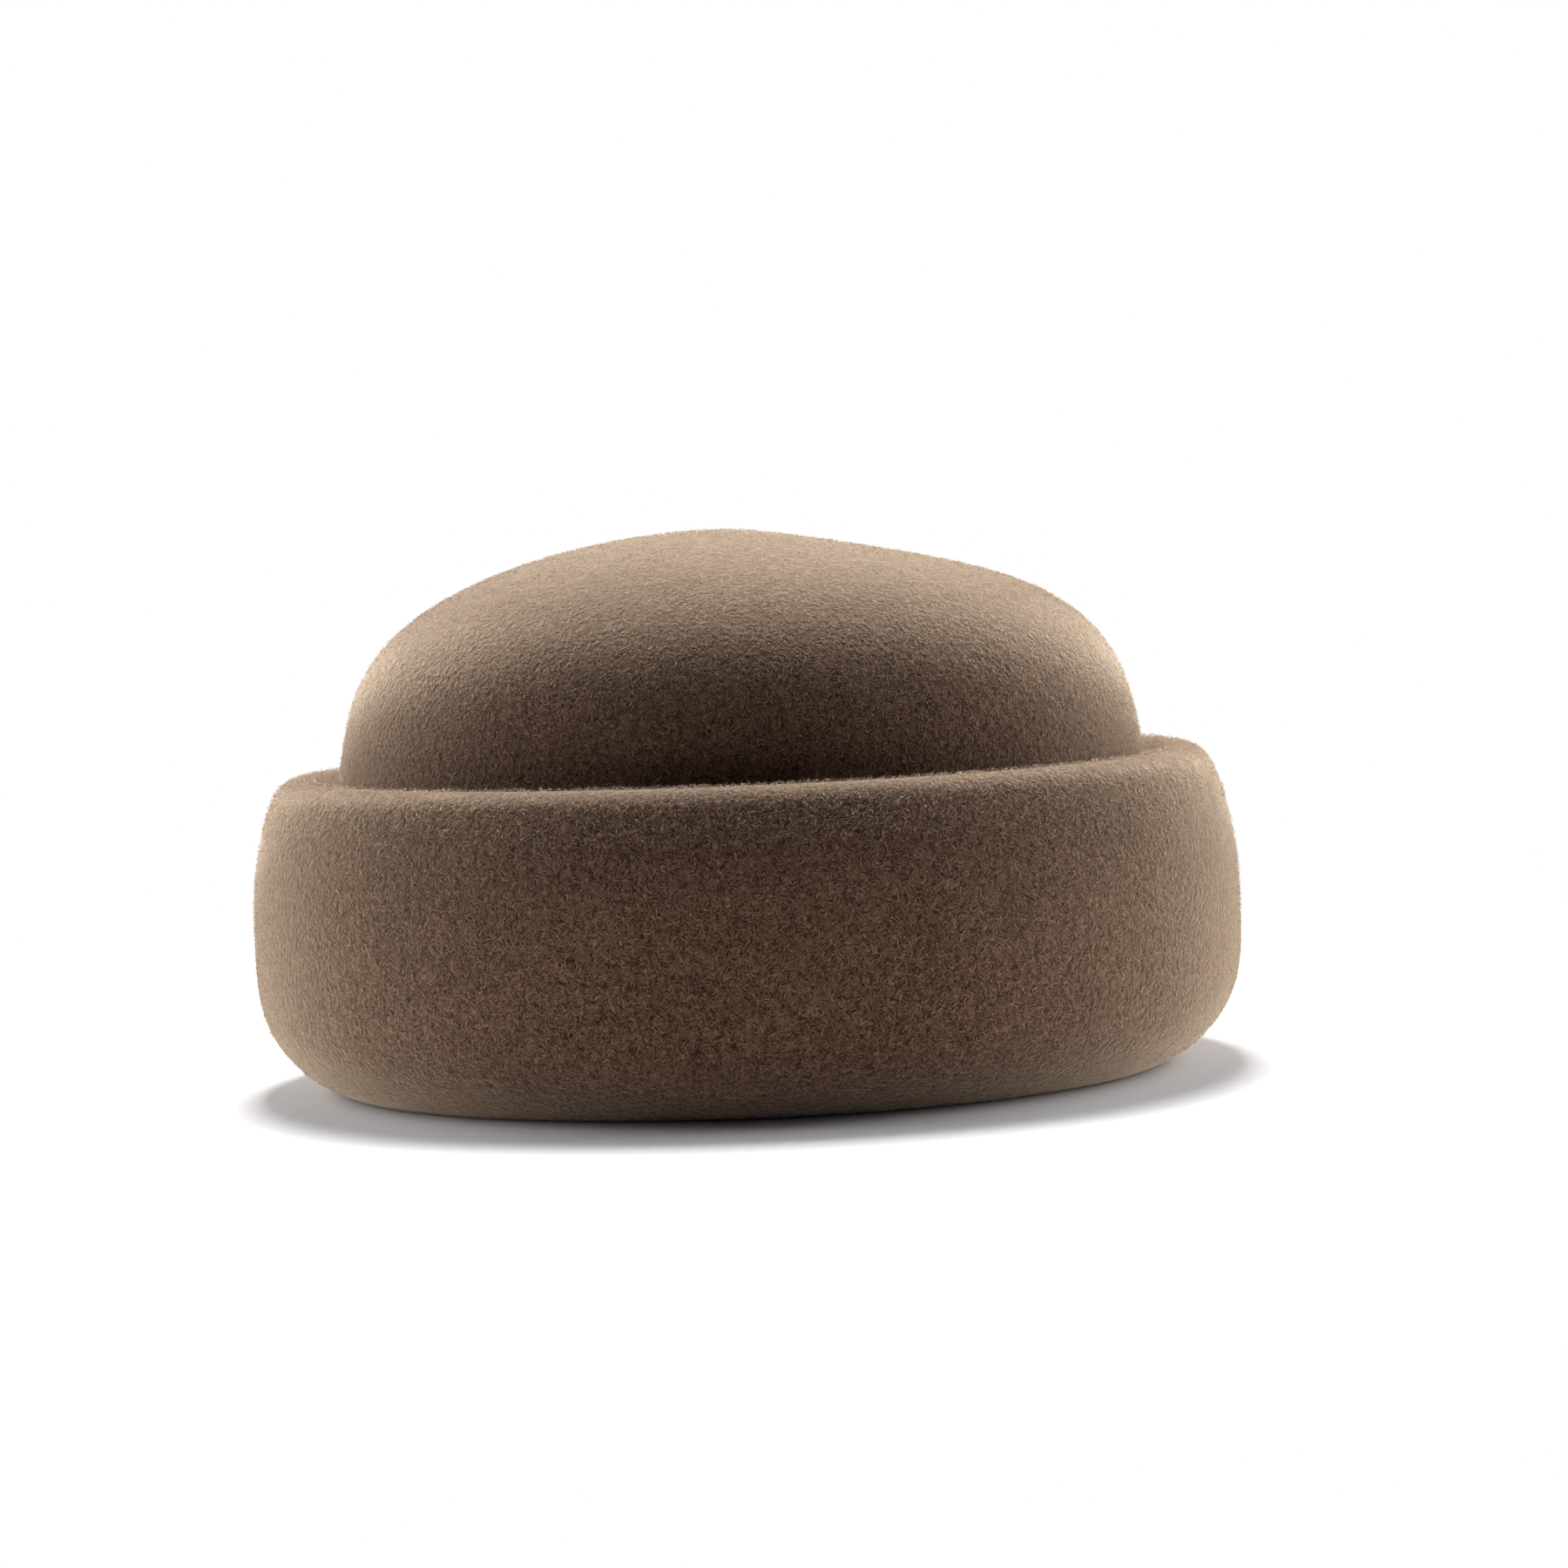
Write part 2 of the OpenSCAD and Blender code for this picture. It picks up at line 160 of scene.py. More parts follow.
def running_length(points: np.ndarray, axis: int, closed: bool) -> np.ndarray:
    """Length along one axis of a grid, averaged over the other.

    Args:
        points: Rows x columns x 3.
        axis: 0 to run over the rows, 1 to run over the columns.
        closed: Whether the first point follows the last one again.

    Returns:
        The length at each point, from 0, with one more entry where the grid is closed.
    """
    if closed:
        points = np.concatenate([points, np.take(points, [0], axis=axis)], axis=axis)
    steps = np.linalg.norm(np.diff(points, axis=axis), axis=2).mean(axis=1 - axis)
    return np.concatenate([[0.0], np.cumsum(steps)])


def enclosed_volume(points: np.ndarray, quads: np.ndarray, fans: np.ndarray) -> float:
    """Signed volume inside a closed skin: a sixth of the sum of each triangle's triple product.

    Args:
        points: Points x 3.
        quads: Corner numbers of the four-sided faces.
        fans: Corner numbers of the three-sided faces.

    Returns:
        The volume, below 0 where the faces look inward.
    """
    triangles = np.concatenate([quads[:, [0, 1, 2]], quads[:, [0, 2, 3]], fans])
    a, b, c = (points[triangles[:, k]] for k in range(3))
    return float(np.einsum("ij,ij->i", a, np.cross(b, c)).sum() / 6)


def put_mesh(name: str, points: np.ndarray, groups: list[np.ndarray]) -> Piece:
    """Makes a smooth mesh and links it to the scene.

    Args:
        name: Name of the new object.
        points: Points x 3.
        groups: Corner numbers of the faces, an array for each number of corners.

    Returns:
        The new object, at the origin.
    """
    corners = np.concatenate([faces.ravel() for faces in groups])
    sizes = np.concatenate([np.full(len(faces), faces.shape[1]) for faces in groups])
    mesh = bpy.data.meshes.new(name)
    mesh.vertices.add(len(points))
    mesh.vertices.foreach_set("co", points.astype(np.float32).ravel())
    mesh.loops.add(len(corners))
    mesh.loops.foreach_set("vertex_index", corners.astype(np.int32))
    mesh.polygons.add(len(sizes))
    mesh.polygons.foreach_set("loop_start", (np.cumsum(sizes) - sizes).astype(np.int32))
    mesh.update(calc_edges=True)
    mesh.shade_smooth()
    piece = bpy.data.objects.new(name, mesh)
    bpy.context.scene.collection.objects.link(piece)
    return piece


def lay_map(piece: Piece, name: str, places: np.ndarray) -> None:
    """Gives a piece a map, or a new one in place of its map of that name.

    Args:
        piece: The piece.
        name: Name of the map.
        places: A place for each corner of each face, ... x 2.
    """
    maps = piece.data.uv_layers
    layer = maps.get(name) or maps.new(name=name)
    layer.data.foreach_set("uv", places.astype(np.float32).ravel())


def lay_plan(piece: Piece) -> None:
    """Maps a piece by its plan, for cloth that is cut flat: across the hat in U and along it in V.

    Args:
        piece: The piece, which already has a map of its lengths.
    """
    mesh = piece.data
    corners = np.empty(len(mesh.loops), np.int32)
    mesh.loops.foreach_get("vertex_index", corners)
    points = np.empty(3 * len(mesh.vertices), np.float32)
    mesh.vertices.foreach_get("co", points)
    lay_map(piece, LENGTHS, points.reshape(-1, 3)[corners, :2])


def make_skin(name: str, points: np.ndarray, closing: Closing) -> Piece:
    """Makes a closed mesh with outward faces from one or more equal grids of points.

    The mesh gets a map in metres: along the columns in U and along the rows in V.

    Args:
        name: Name of the new object.
        points: Rows x columns x 3, or copies x rows x columns x 3.
        closing: How each grid is closed.

    Returns:
        The new object.
    """
    grids = points if points.ndim == 4 else points[None]
    copies, rows, columns = grids.shape[:3]
    capped = closing is Closing.CAPPED
    along_rows = running_length(grids[0], 0, not capped)
    along_columns = running_length(grids[0], 1, True)
    map_places = np.stack(np.broadcast_arrays(along_columns, along_rows[:, None]), axis=-1).reshape(-1, 2)
    row = np.arange(len(along_rows)) % rows
    column = np.arange(columns + 1) % columns
    number = (row[:, None] * columns + column).ravel()
    flat = grids.reshape(copies, rows * columns, 3)
    if capped:
        ends = np.stack([np.full(2, along_columns[-1] / 2), along_rows[[0, -1]]], axis=1)
        map_places = np.concatenate([map_places, ends])
        number = np.concatenate([number, rows * columns + np.arange(2)])
        flat = np.concatenate([flat, grids[:, [0, -1]].mean(axis=2)], axis=1)
    groups = skin_faces(rows, columns, closing)
    if enclosed_volume(flat[0], *(number[faces] for faces in groups)) < 0:
        groups = [faces[:, ::-1] for faces in groups]
    shift = (np.arange(copies) * flat.shape[1])[:, None, None]
    all_groups = [(number[faces] + shift).reshape(-1, faces.shape[1]) for faces in groups]
    piece = put_mesh(name, flat.reshape(-1, 3), all_groups)
    corner_places = [np.tile(map_places[faces].reshape(-1, 2), (copies, 1)) for faces in groups]
    lay_map(piece, LENGTHS, np.concatenate(corner_places))
    piece.data.validate()
    return piece


def tube(
    path: np.ndarray, across: np.ndarray, over: np.ndarray, radius: np.ndarray, sides: int
) -> np.ndarray:
    """Points of a round section carried along a path.

    A ring's point at an angle a is its path point + radius (across cos a + over sin a).

    Args:
        path: ... x rows x 3.
        across: Direction across the path at each ring.
        over: Direction across both the path and the first one.
        radius: ... x rows x 1, or ... x rows x sides where it varies round the ring.
        sides: Points round a ring.

    Returns:
        ... x rows x sides x 3.
    """
    angle = round_angles(sides)[:, None]
    ring = across[..., None, :] * np.cos(angle) + over[..., None, :] * np.sin(angle)
    return path[..., None, :] + radius[..., None] * ring


def slab(reach: tuple[float, float], heights: np.ndarray) -> np.ndarray:
    """Closed section of a thin strip with half-round edges.

    Args:
        reach: Its inner and its outer face.
        heights: Heights of the points on each face, from the top down.

    Returns:
        Points x 2, down the inner face, round the foot, up the outer face and round the top.
    """
    radius = (reach[1] - reach[0]) / 2
    middle = (reach[1] + reach[0]) / 2
    angle = np.radians(np.linspace(180, 360, EDGE_POINTS))[1:-1]
    foot = np.stack([middle + radius * np.cos(angle), heights[-1] + radius * np.sin(angle)], axis=1)
    top = np.stack([middle - radius * np.cos(angle), heights[0] - radius * np.sin(angle)], axis=1)
    inner = np.stack([np.full_like(heights, reach[0]), heights], axis=1)
    outer = np.stack([np.full_like(heights, reach[1]), heights[::-1]], axis=1)
    return np.concatenate([inner, foot, outer, top])


class Graph:
    """Node tree of a new material or world, added to a node at a time."""

    def __init__(self, owner: bpy.types.ID) -> None:
        """Takes the tree with the surface or the light that it starts with."""
        owner.use_nodes = True
        self.tree = owner.node_tree

    def first(self, kind: str) -> bpy.types.Node:
        """The tree's first node of a kind."""
        return next(node for node in self.tree.nodes if node.type == kind)

    def feed(self, socket: Socket, value: object) -> None:
        """Links a value to a socket, or sets the socket to it.

        Args:
            socket: The socket.
            value: Another node's output to link, or a number, a vector or a colour to set.
        """
        if isinstance(value, Socket):
            self.tree.links.new(value, socket)
        elif isinstance(value, tuple) and socket.type == "RGBA":
            socket.default_value = (*value, 1.0)
        else:
            socket.default_value = value

    def fill(self, node: bpy.types.Node, inputs: dict[str | int, object]) -> bpy.types.Node:
        """Feeds a node's inputs.

        Args:
            node: The node.
            inputs: Value or link for each input, by name or place.

        Returns:
            The same node.
        """
        for key, value in inputs.items():
            self.feed(node.inputs[key], value)
        return node

    def node(self, kind: str, inputs: dict[str | int, object], **settings: object) -> bpy.types.Node:
        """Adds a node.

        Args:
            kind: The node's type.
            inputs: Value or link for each input, by name or place.
            **settings: Properties of the node.

        Returns:
            The new node.
        """
        node = self.tree.nodes.new(kind)
        for name, value in settings.items():
            setattr(node, name, value)
        return self.fill(node, inputs)

    def place(self) -> Socket:
        """Object coordinates, in metres."""
        return self.node("ShaderNodeTexCoord", {}).outputs["Object"]

    def lengths(self) -> Socket:
        """The piece's own map of lengths along its columns and rows, in metres."""
        return self.node("ShaderNodeUVMap", {}, uv_map=LENGTHS).outputs["UV"]

    def parts(self, vector: object) -> list[Socket]:
        """The three numbers of a vector."""
        return list(self.node("ShaderNodeSeparateXYZ", {0: vector}).outputs)

    def math(self, operation: str, *values: object) -> Socket:
        """Result of one sum on numbers or links."""
        return self.node("ShaderNodeMath", dict(enumerate(values)), operation=operation).outputs[0]

    def weigh(self, first: object, weight: float, second: object, other_weight: float) -> Socket:
        """Sum of two patterns, each times its weight."""
        return self.math("MULTIPLY_ADD", first, weight, self.math("MULTIPLY", second, other_weight))

    def vector(self, operation: str, *values: object, output: Output = Output.VECTOR) -> Socket:
        """Result of one sum on vectors."""
        node = self.node("ShaderNodeVectorMath", dict(enumerate(values)), operation=operation)
        return node.outputs[output.value]

    def noise(
        self,
        place: object,
        size: float,
        detail: float,
        roughness: float = 0.5,
        output: Output = Output.NUMBER,
    ) -> Socket:
        """Soft random pattern whose spots are about one size across.

        Args:
            place: Coordinates in metres.
            size: Size of a spot in metres.
            detail: Octaves of finer spots.
            roughness: Strength of each octave against the one before.
            output: A number, or a colour for three of them.

        Returns:
            The pattern.
        """
        inputs = {"Vector": place, "Scale": 1 / size, "Detail": detail, "Roughness": roughness}
        return self.node("ShaderNodeTexNoise", inputs).outputs[output.value]

    def cells(self, place: object, size: float, **settings: object) -> bpy.types.NodeOutputs:
        """Outputs of a net of random cells that are about one size across."""
        return self.node("ShaderNodeTexVoronoi", {"Vector": place, "Scale": 1 / size}, **settings).outputs

    def span(
        self, value: object, low: float, high: float, start: float, end: float, ease: Ease = Ease.STRAIGHT
    ) -> Socket:
        """Carries low..high to start..end, and holds beyond.

        Args:
            value: The value to carry.
            low: Its value at the start.
            high: Its value at the end.
            start: Result at the start.
            end: Result at the end.
            ease: How the result goes from start to end.

        Returns:
            The result.
        """
        inputs = {0: value, 1: low, 2: high, 3: start, 4: end}
        return self.node("ShaderNodeMapRange", inputs, interpolation_type=ease.value).outputs[0]

    def spread(self, noise: object, start: float, end: float, reach: float = 0.2) -> Socket:
        """Carries the values of a noise within a reach of its middle to start..end, and holds beyond."""
        return self.span(noise, 0.5 - reach, 0.5 + reach, start, end)

    def blend(self, share: object, first: object, second: object) -> Socket:
        """Colour between two colours; a mix's colour sockets are known by their places only."""
        return self.node("ShaderNodeMix", {0: share, 6: first, 7: second}, data_type="RGBA").outputs[2]

    def stripes(self, place: object, pitch: float, along: Along, slant: float = 0.0) -> Socket:
        """Even stripes from 0 to 1: half of 1 + sin of a full turn for each pitch along one axis.

        Args:
            place: Coordinates in metres.
            pitch: Distance from one stripe to the next.
            along: The axis that the stripes follow one another on.
            slant: How far the other axis moves the stripes, as a slope.

        Returns:
            The stripes.
        """
        parts = self.parts(place)
        run = self.math("MULTIPLY_ADD", parts[1 - along.value], slant, parts[along.value])
        wave = self.math("SINE", self.math("MULTIPLY", run, FULL_TURN / pitch))
        return self.math("MULTIPLY_ADD", wave, 0.5, 0.5)

    def bump(self, height: object, depth: float, below: object = None) -> Socket:
        """Surface direction over a pattern of heights.

        Args:
            height: Pattern from 0 to 1.
            depth: Height of the pattern in metres.
            below: Surface direction that this one is laid on.

        Returns:
            The direction.
        """
        inputs = {"Height": height, "Distance": depth, "Strength": 1.0}
        if below is not None:
            inputs["Normal"] = below
        return self.node("ShaderNodeBump", inputs).outputs[0]


@dataclass(frozen=True)
class Finish:
    """A finish of the hat: a material slot of the record and the material made for it."""

    slot: str = ""

    def inputs(self, graph: Graph) -> dict[str, object]:
        """Values and patterns of the material's surface, by socket."""
        raise NotImplementedError

    def material(self) -> bpy.types.Material:
        """Builds the finish's material the first time that it is asked for.

        Returns:
            The material.
        """
        name = type(self).__name__
        material = bpy.data.materials.get(name)
        if material is None:
            material = bpy.data.materials.new(name)
            graph = Graph(material)
            graph.fill(graph.first("BSDF_PRINCIPLED"), self.inputs(graph))
        return material


@dataclass(frozen=True)
class Felt(Finish):
    """Velour felt: short curly fibres, light on a reddish brown ground, pale where it is seen edge on."""

    slot: str = "felt"
    ground: Triple = (0.026, 0.006, 0.001)
    fibre: Triple = (0.270, 0.160, 0.106)
    glow: Triple = (1.0, 0.82, 0.62)
    clump: float = 1.8 * MM
    clump_share: float = 0.75
    tuft: float = 1.3 * MM
    tuft_core: float = 0.25
    tuft_edge: float = 0.7
    faintest: float = 0.2
    stroke: float = 0.75 * MM
    second_scale: float = 0.7
    second_shift: Triple = (31 * MM, 17 * MM, 23 * MM)
    pile_low: float = -0.5
    pile_high: float = 0.9
    curl: float = 1.6 * MM
    bend: float = 0.5 * MM
    patch: float = 24 * MM
    patch_tone: float = 0.05
    relief: float = 0.10 * MM
    swell: float = 1.25 * MM
    swell_height: float = 0.34 * MM

    def inputs(self, graph: Graph) -> dict[str, object]:
        """Fibres are short strokes that lie every way, in clumps, with wide patches of lighter nap.

        Args:
            graph: The material's nodes.

        Returns:
            The surface's inputs.
        """
        place = graph.place()
        curls = graph.noise(place, self.curl, detail=1.0, output=Output.COLOUR)
        swirl = graph.vector("SUBTRACT", curls, HALF)
        bent = graph.vector("ADD", place, graph.vector("MULTIPLY", swirl, (2 * self.bend,) * 3))
        clumps = graph.spread(graph.noise(bent, self.clump, detail=2.0, roughness=1.0), -1.0, 1.0, reach=0.3)
        first = self.strokes(graph, bent, 1.0)
        second = self.strokes(graph, graph.vector("ADD", bent, self.second_shift), self.second_scale)
        pile = graph.math("MULTIPLY_ADD", clumps, self.clump_share, graph.math("ADD", first, second))
        nap = graph.span(pile, self.pile_low, self.pile_high, 0.0, 1.0)
        broad = graph.bump(graph.noise(bent, self.swell, detail=1.0), self.swell_height)
        tone = graph.spread(graph.noise(place, self.patch, detail=3.0), -self.patch_tone, self.patch_tone)
        return {
            "Base Color": graph.blend(graph.math("ADD", nap, tone), self.ground, self.fibre),
            "Roughness": 0.95,
            "Specular IOR Level": 0.0,
            "Sheen Weight": 1.0,
            "Sheen Roughness": 0.5,
            "Sheen Tint": self.glow,
            "Normal": graph.bump(nap, self.relief, broad),
        }

    def strokes(self, graph: Graph, place: object, scale: float) -> Socket:
        """Tufts of strokes: in each cell of a net, waves along its own direction that fade out at its edge.

        Args:
            graph: The material's nodes.
            place: Coordinates in metres.
            scale: Size of these strokes against the finish's own.

        Returns:
            The strokes, from -1 to 1.
        """
        net = graph.cells(place, scale * self.tuft)
        way = graph.vector("NORMALIZE", graph.vector("SUBTRACT", net["Color"], HALF))
        off = graph.vector("SUBTRACT", place, net["Position"])
        run = graph.vector("DOT_PRODUCT", off, way, output=Output.VALUE)
        wave = graph.math("COSINE", graph.math("MULTIPLY", run, FULL_TURN / (scale * self.stroke)))
        fade = graph.span(net["Distance"], self.tuft_core, self.tuft_edge, 1.0, 0.0)
        own = graph.span(graph.parts(net["Color"])[0], 0.0, 1.0, self.faintest, 1.0)
        return graph.math("MULTIPLY", wave, graph.math("MULTIPLY", fade, own))


@dataclass(frozen=True)
class NapFibre(Finish):
    """Fibres of the nap: dark at the root, pale at the tip, each a little lighter or darker than the next.

    Light goes some way through a fibre, so the fibres at the hat's edge glow where the light is behind them.
    """

    slot: str = "felt"
    root: Triple = (0.070, 0.038, 0.022)
    tip: Triple = (0.270, 0.182, 0.128)
    glow: Triple = (1.0, 0.82, 0.62)
    reach: Triple = (1.0, 0.8, 0.6)
    depth: float = 0.3 * MM
    root_share: float = 0.1
    pale_from: float = 0.8
    darkest: float = 0.45

    def inputs(self, graph: Graph) -> dict[str, object]:
        """The map gives a chance number for each fibre in U and its length from root to tip in V.

        Args:
            graph: The material's nodes.

        Returns:
            The surface's inputs.
        """
        chance, along = graph.parts(graph.lengths())[:2]
        paler = graph.span(along, 0.0, self.pale_from, self.root_share, 1.0)
        own = graph.span(chance, 0.0, 1.0, self.darkest, 1.0)
        return {
            "Base Color": graph.blend(graph.math("MULTIPLY", paler, own), self.root, self.tip),
            "Roughness": 0.9,
            "Specular IOR Level": 0.0,
            "Subsurface Weight": 1.0,
            "Subsurface Radius": self.reach,
            "Subsurface Scale": self.depth,
            "Sheen Weight": 0.8,
            "Sheen Roughness": 0.5,
            "Sheen Tint": self.glow,
        }


@dataclass(frozen=True)
class Leather(Finish):
    """Smooth brown leather: fine grain, cloudy colour and a soft polish."""

    slot: str = "leather"
    dark: Triple = (0.060, 0.025, 0.0105)
    light: Triple = (0.150, 0.070, 0.032)
    pore: float = 0.8 * MM
    pore_line: float = 0.2
    cloud: float = 11 * MM
    cloud_tone: float = 0.75
    grain_tone: float = 0.25
    polished: float = 0.34
    dull: float = 0.55
    relief: float = 0.05 * MM

    def inputs(self, graph: Graph) -> dict[str, object]:
        """The grain is a net of cells, dark and low along the lines between them.

        Args:
            graph: The material's nodes.

        Returns:
            The surface's inputs.
        """
        place = graph.place()
        to_edge = graph.cells(place, self.pore, feature="DISTANCE_TO_EDGE")["Distance"]
        grain = graph.span(to_edge, 0.0, self.pore_line, 0.0, 1.0)
        cloud = graph.spread(graph.noise(place, self.cloud, detail=5.0), 0.0, self.cloud_tone, reach=0.18)
        share = graph.math("MULTIPLY_ADD", grain, self.grain_tone, cloud)
        wear = graph.noise(place, self.cloud / 3, detail=3.0)
        return {
            "Base Color": graph.blend(share, self.dark, self.light),
            "Roughness": graph.spread(wear, self.polished, self.dull),
            "Coat Weight": 0.1,
            "Coat Roughness": 0.3,
            "Normal": graph.bump(grain, self.relief),
        }


@dataclass(frozen=True)
class Satin(Finish):
    """Brown lining satin: long floats of yarn that shine across their length."""

    slot: str = "satin"
    dark: Triple = (0.045, 0.021, 0.013)
    light: Triple = (0.115, 0.058, 0.036)
    yarn: float = 0.45 * MM
    yarn_tone: float = 0.65
    tie_yarns: int = 4
    tie_slant: float = 0.5
    slub: float = 14 * MM
    slub_dark: float = -0.2
    slub_light: float = 0.25
    relief: float = 0.035 * MM

    def inputs(self, graph: Graph) -> dict[str, object]:
        """Warp yarns run up the lining, and every few rows a weft yarn ties them down.

        Args:
            graph: The material's nodes.

        Returns:
            The surface's inputs.
        """
        place = graph.lengths()
        warp = graph.stripes(place, self.yarn, Along.COLUMNS)
        tie = graph.stripes(place, self.tie_yarns * self.yarn, Along.ROWS, self.tie_slant)
        weave = graph.weigh(warp, self.yarn_tone, tie, 1 - self.yarn_tone)
        spots = graph.noise(graph.place(), self.slub, detail=4.0)
        slub = graph.spread(spots, self.slub_dark, self.slub_light)
        tangent = graph.node("ShaderNodeTangent", {}, direction_type="UV_MAP", uv_map=LENGTHS)
        return {
            "Base Color": graph.blend(graph.math("ADD", weave, slub), self.dark, self.light),
            "Roughness": 0.36,
            "Anisotropic": 0.55,
            "Tangent": tangent.outputs[0],
            "Sheen Weight": 0.25,
            "Sheen Roughness": 0.35,
            "Normal": graph.bump(weave, self.relief),
        }


@dataclass(frozen=True)
class Ribbon(Finish):
    """Dark brown ribbon with fine ribs across its length."""

    slot: str = "ribbon"
    dark: Triple = (0.020, 0.010, 0.006)
    light: Triple = (0.075, 0.042, 0.026)
    rib: float = 0.7 * MM
    rib_tone: float = 0.75
    yarn: float = 0.35 * MM
    yarn_slant: float = 0.3
    relief: float = 0.12 * MM

    def inputs(self, graph: Graph) -> dict[str, object]:
        """Ribs follow one another along the ribbon, wrapped by finer yarns.

        Args:
            graph: The material's nodes.

        Returns:
            The surface's inputs.
        """
        place = graph.lengths()
        ribs = graph.stripes(place, self.rib, Along.ROWS)
        yarns = graph.stripes(place, self.yarn, Along.COLUMNS, self.yarn_slant)
        weave = graph.weigh(ribs, self.rib_tone, yarns, 1 - self.rib_tone)
        return {
            "Base Color": graph.blend(weave, self.dark, self.light),
            "Roughness": 0.55,
            "Sheen Weight": 0.35,
            "Sheen Roughness": 0.4,
            "Normal": graph.bump(weave, self.relief),
        }


@dataclass(frozen=True)
class Cord(Ribbon):
    """Twisted cord of the same dark yarn as the ribbon."""

    rib: float = 0.9 * MM
    yarn: float = 0.5 * MM


@dataclass(frozen=True)
class Tape(Finish):
    """Plain woven cotton tape."""

    slot: str = "tape"
    dark: Triple = (0.045, 0.029, 0.020)
    light: Triple = (0.110, 0.077, 0.055)
    yarn: float = 0.8 * MM
    yarn_slant: float = 1.0
    yarn_tone: float = 0.6
    fuzz: float = 0.6 * MM
    fuzz_tone: float = 0.5
    relief: float = 0.08 * MM

    def inputs(self, graph: Graph) -> dict[str, object]:
        """Slanted ribs of a twill under a fuzz of loose fibre.

        Args:
            graph: The material's nodes.

        Returns:
            The surface's inputs.
        """
        twill = graph.stripes(graph.lengths(), self.yarn, Along.COLUMNS, self.yarn_slant)
        fuzz = graph.noise(graph.place(), self.fuzz, detail=3.0)
        share = graph.weigh(twill, self.yarn_tone, fuzz, self.fuzz_tone)
        return {
            "Base Color": graph.blend(share, self.dark, self.light),
            "Roughness": 0.85,
            "Sheen Weight": 0.3,
            "Normal": graph.bump(share, self.relief),
        }


@dataclass(frozen=True)
class Reed(Tape):
    """Strip wound round the reed, in slanted turns."""

    slot: str = "reed"
    yarn: float = 1.5 * MM


@dataclass(frozen=True)
class Thread(Tape):
    """Twisted sewing thread, a little lighter than the felt."""

    slot: str = "thread"
    dark: Triple = (0.110, 0.070, 0.044)
    light: Triple = (0.360, 0.260, 0.180)
    yarn: float = 0.45 * MM


@dataclass(frozen=True)
class Steel(Finish):
    """Drawn steel with fine lines along its length."""

    slot: str = "steel"
    dark: Triple = (0.22, 0.22, 0.23)
    light: Triple = (0.42, 0.43, 0.44)
    line: float = 0.12 * MM
    drawn: Triple = (1.0, 0.02, 1.0)
    bright: float = 0.28
    dull: float = 0.46
    relief: float = 0.01 * MM

    def inputs(self, graph: Graph) -> dict[str, object]:
        """Lines are a noise that is drawn out along the wire.

        Args:
            graph: The material's nodes.

        Returns:
            The surface's inputs.
        """
        drawn = graph.vector("MULTIPLY", graph.lengths(), self.drawn)
        lines = graph.noise(drawn, self.line, detail=3.0)
        return {
            "Base Color": graph.blend(lines, self.dark, self.light),
            "Metallic": 1.0,
            "Roughness": graph.spread(lines, self.bright, self.dull),
            "Normal": graph.bump(lines, self.relief),
        }


@dataclass(frozen=True)
class Paper(Finish):
    """Bare uncoated paper, a little yellowed, with fibres in it."""

    slot: str = "paper"
    aged: Triple = (0.62, 0.54, 0.39)
    clean: Triple = (0.82, 0.78, 0.67)
    cloud: float = 9 * MM
    cloud_low: float = 0.3
    cloud_high: float = 0.65
    cloud_tone: float = 0.8
    fibre: float = 1.2 * MM
    fibre_lie: Triple = (1.0, 1.0, 3.0)
    fibre_tone: float = 0.4
    relief: float = 0.03 * MM

    def inputs(self, graph: Graph) -> dict[str, object]:
        """Soft clouds of age under a fine mat of fibres.

        Args:
            graph: The material's nodes.

        Returns:
            The surface's inputs.
        """
        place = graph.place()
        age = graph.noise(place, self.cloud, detail=4.0)
        clouds = graph.span(age, self.cloud_low, self.cloud_high, 0.0, self.cloud_tone)
        mat = graph.noise(graph.vector("MULTIPLY", place, self.fibre_lie), self.fibre, detail=4.0)
        share = graph.math("MULTIPLY_ADD", mat, self.fibre_tone, clouds)
        return {
            "Base Color": graph.blend(share, self.aged, self.clean),
            "Roughness": 0.85,
            "Specular IOR Level": 0.3,
            "Normal": graph.bump(mat, self.relief),
        }


# One fibre of the nap: the corners of its six faces, and for its five points, root, waist and tip, the share
# of its length and the place in its own cell of the map that is baked.
FIBRE_FACES = np.array([[0, 2, 1], [0, 3, 2], [0, 1, 3], [4, 1, 2], [4, 2, 3], [4, 3, 1]])
FIBRE_SHARES = np.array([0.0, 0.5, 0.5, 0.5, 1.0])
FIBRE_CELL = np.array([[0.5, 0.1], [0.1, 0.5], [0.5, 0.5], [0.9, 0.5], [0.5, 0.9]])


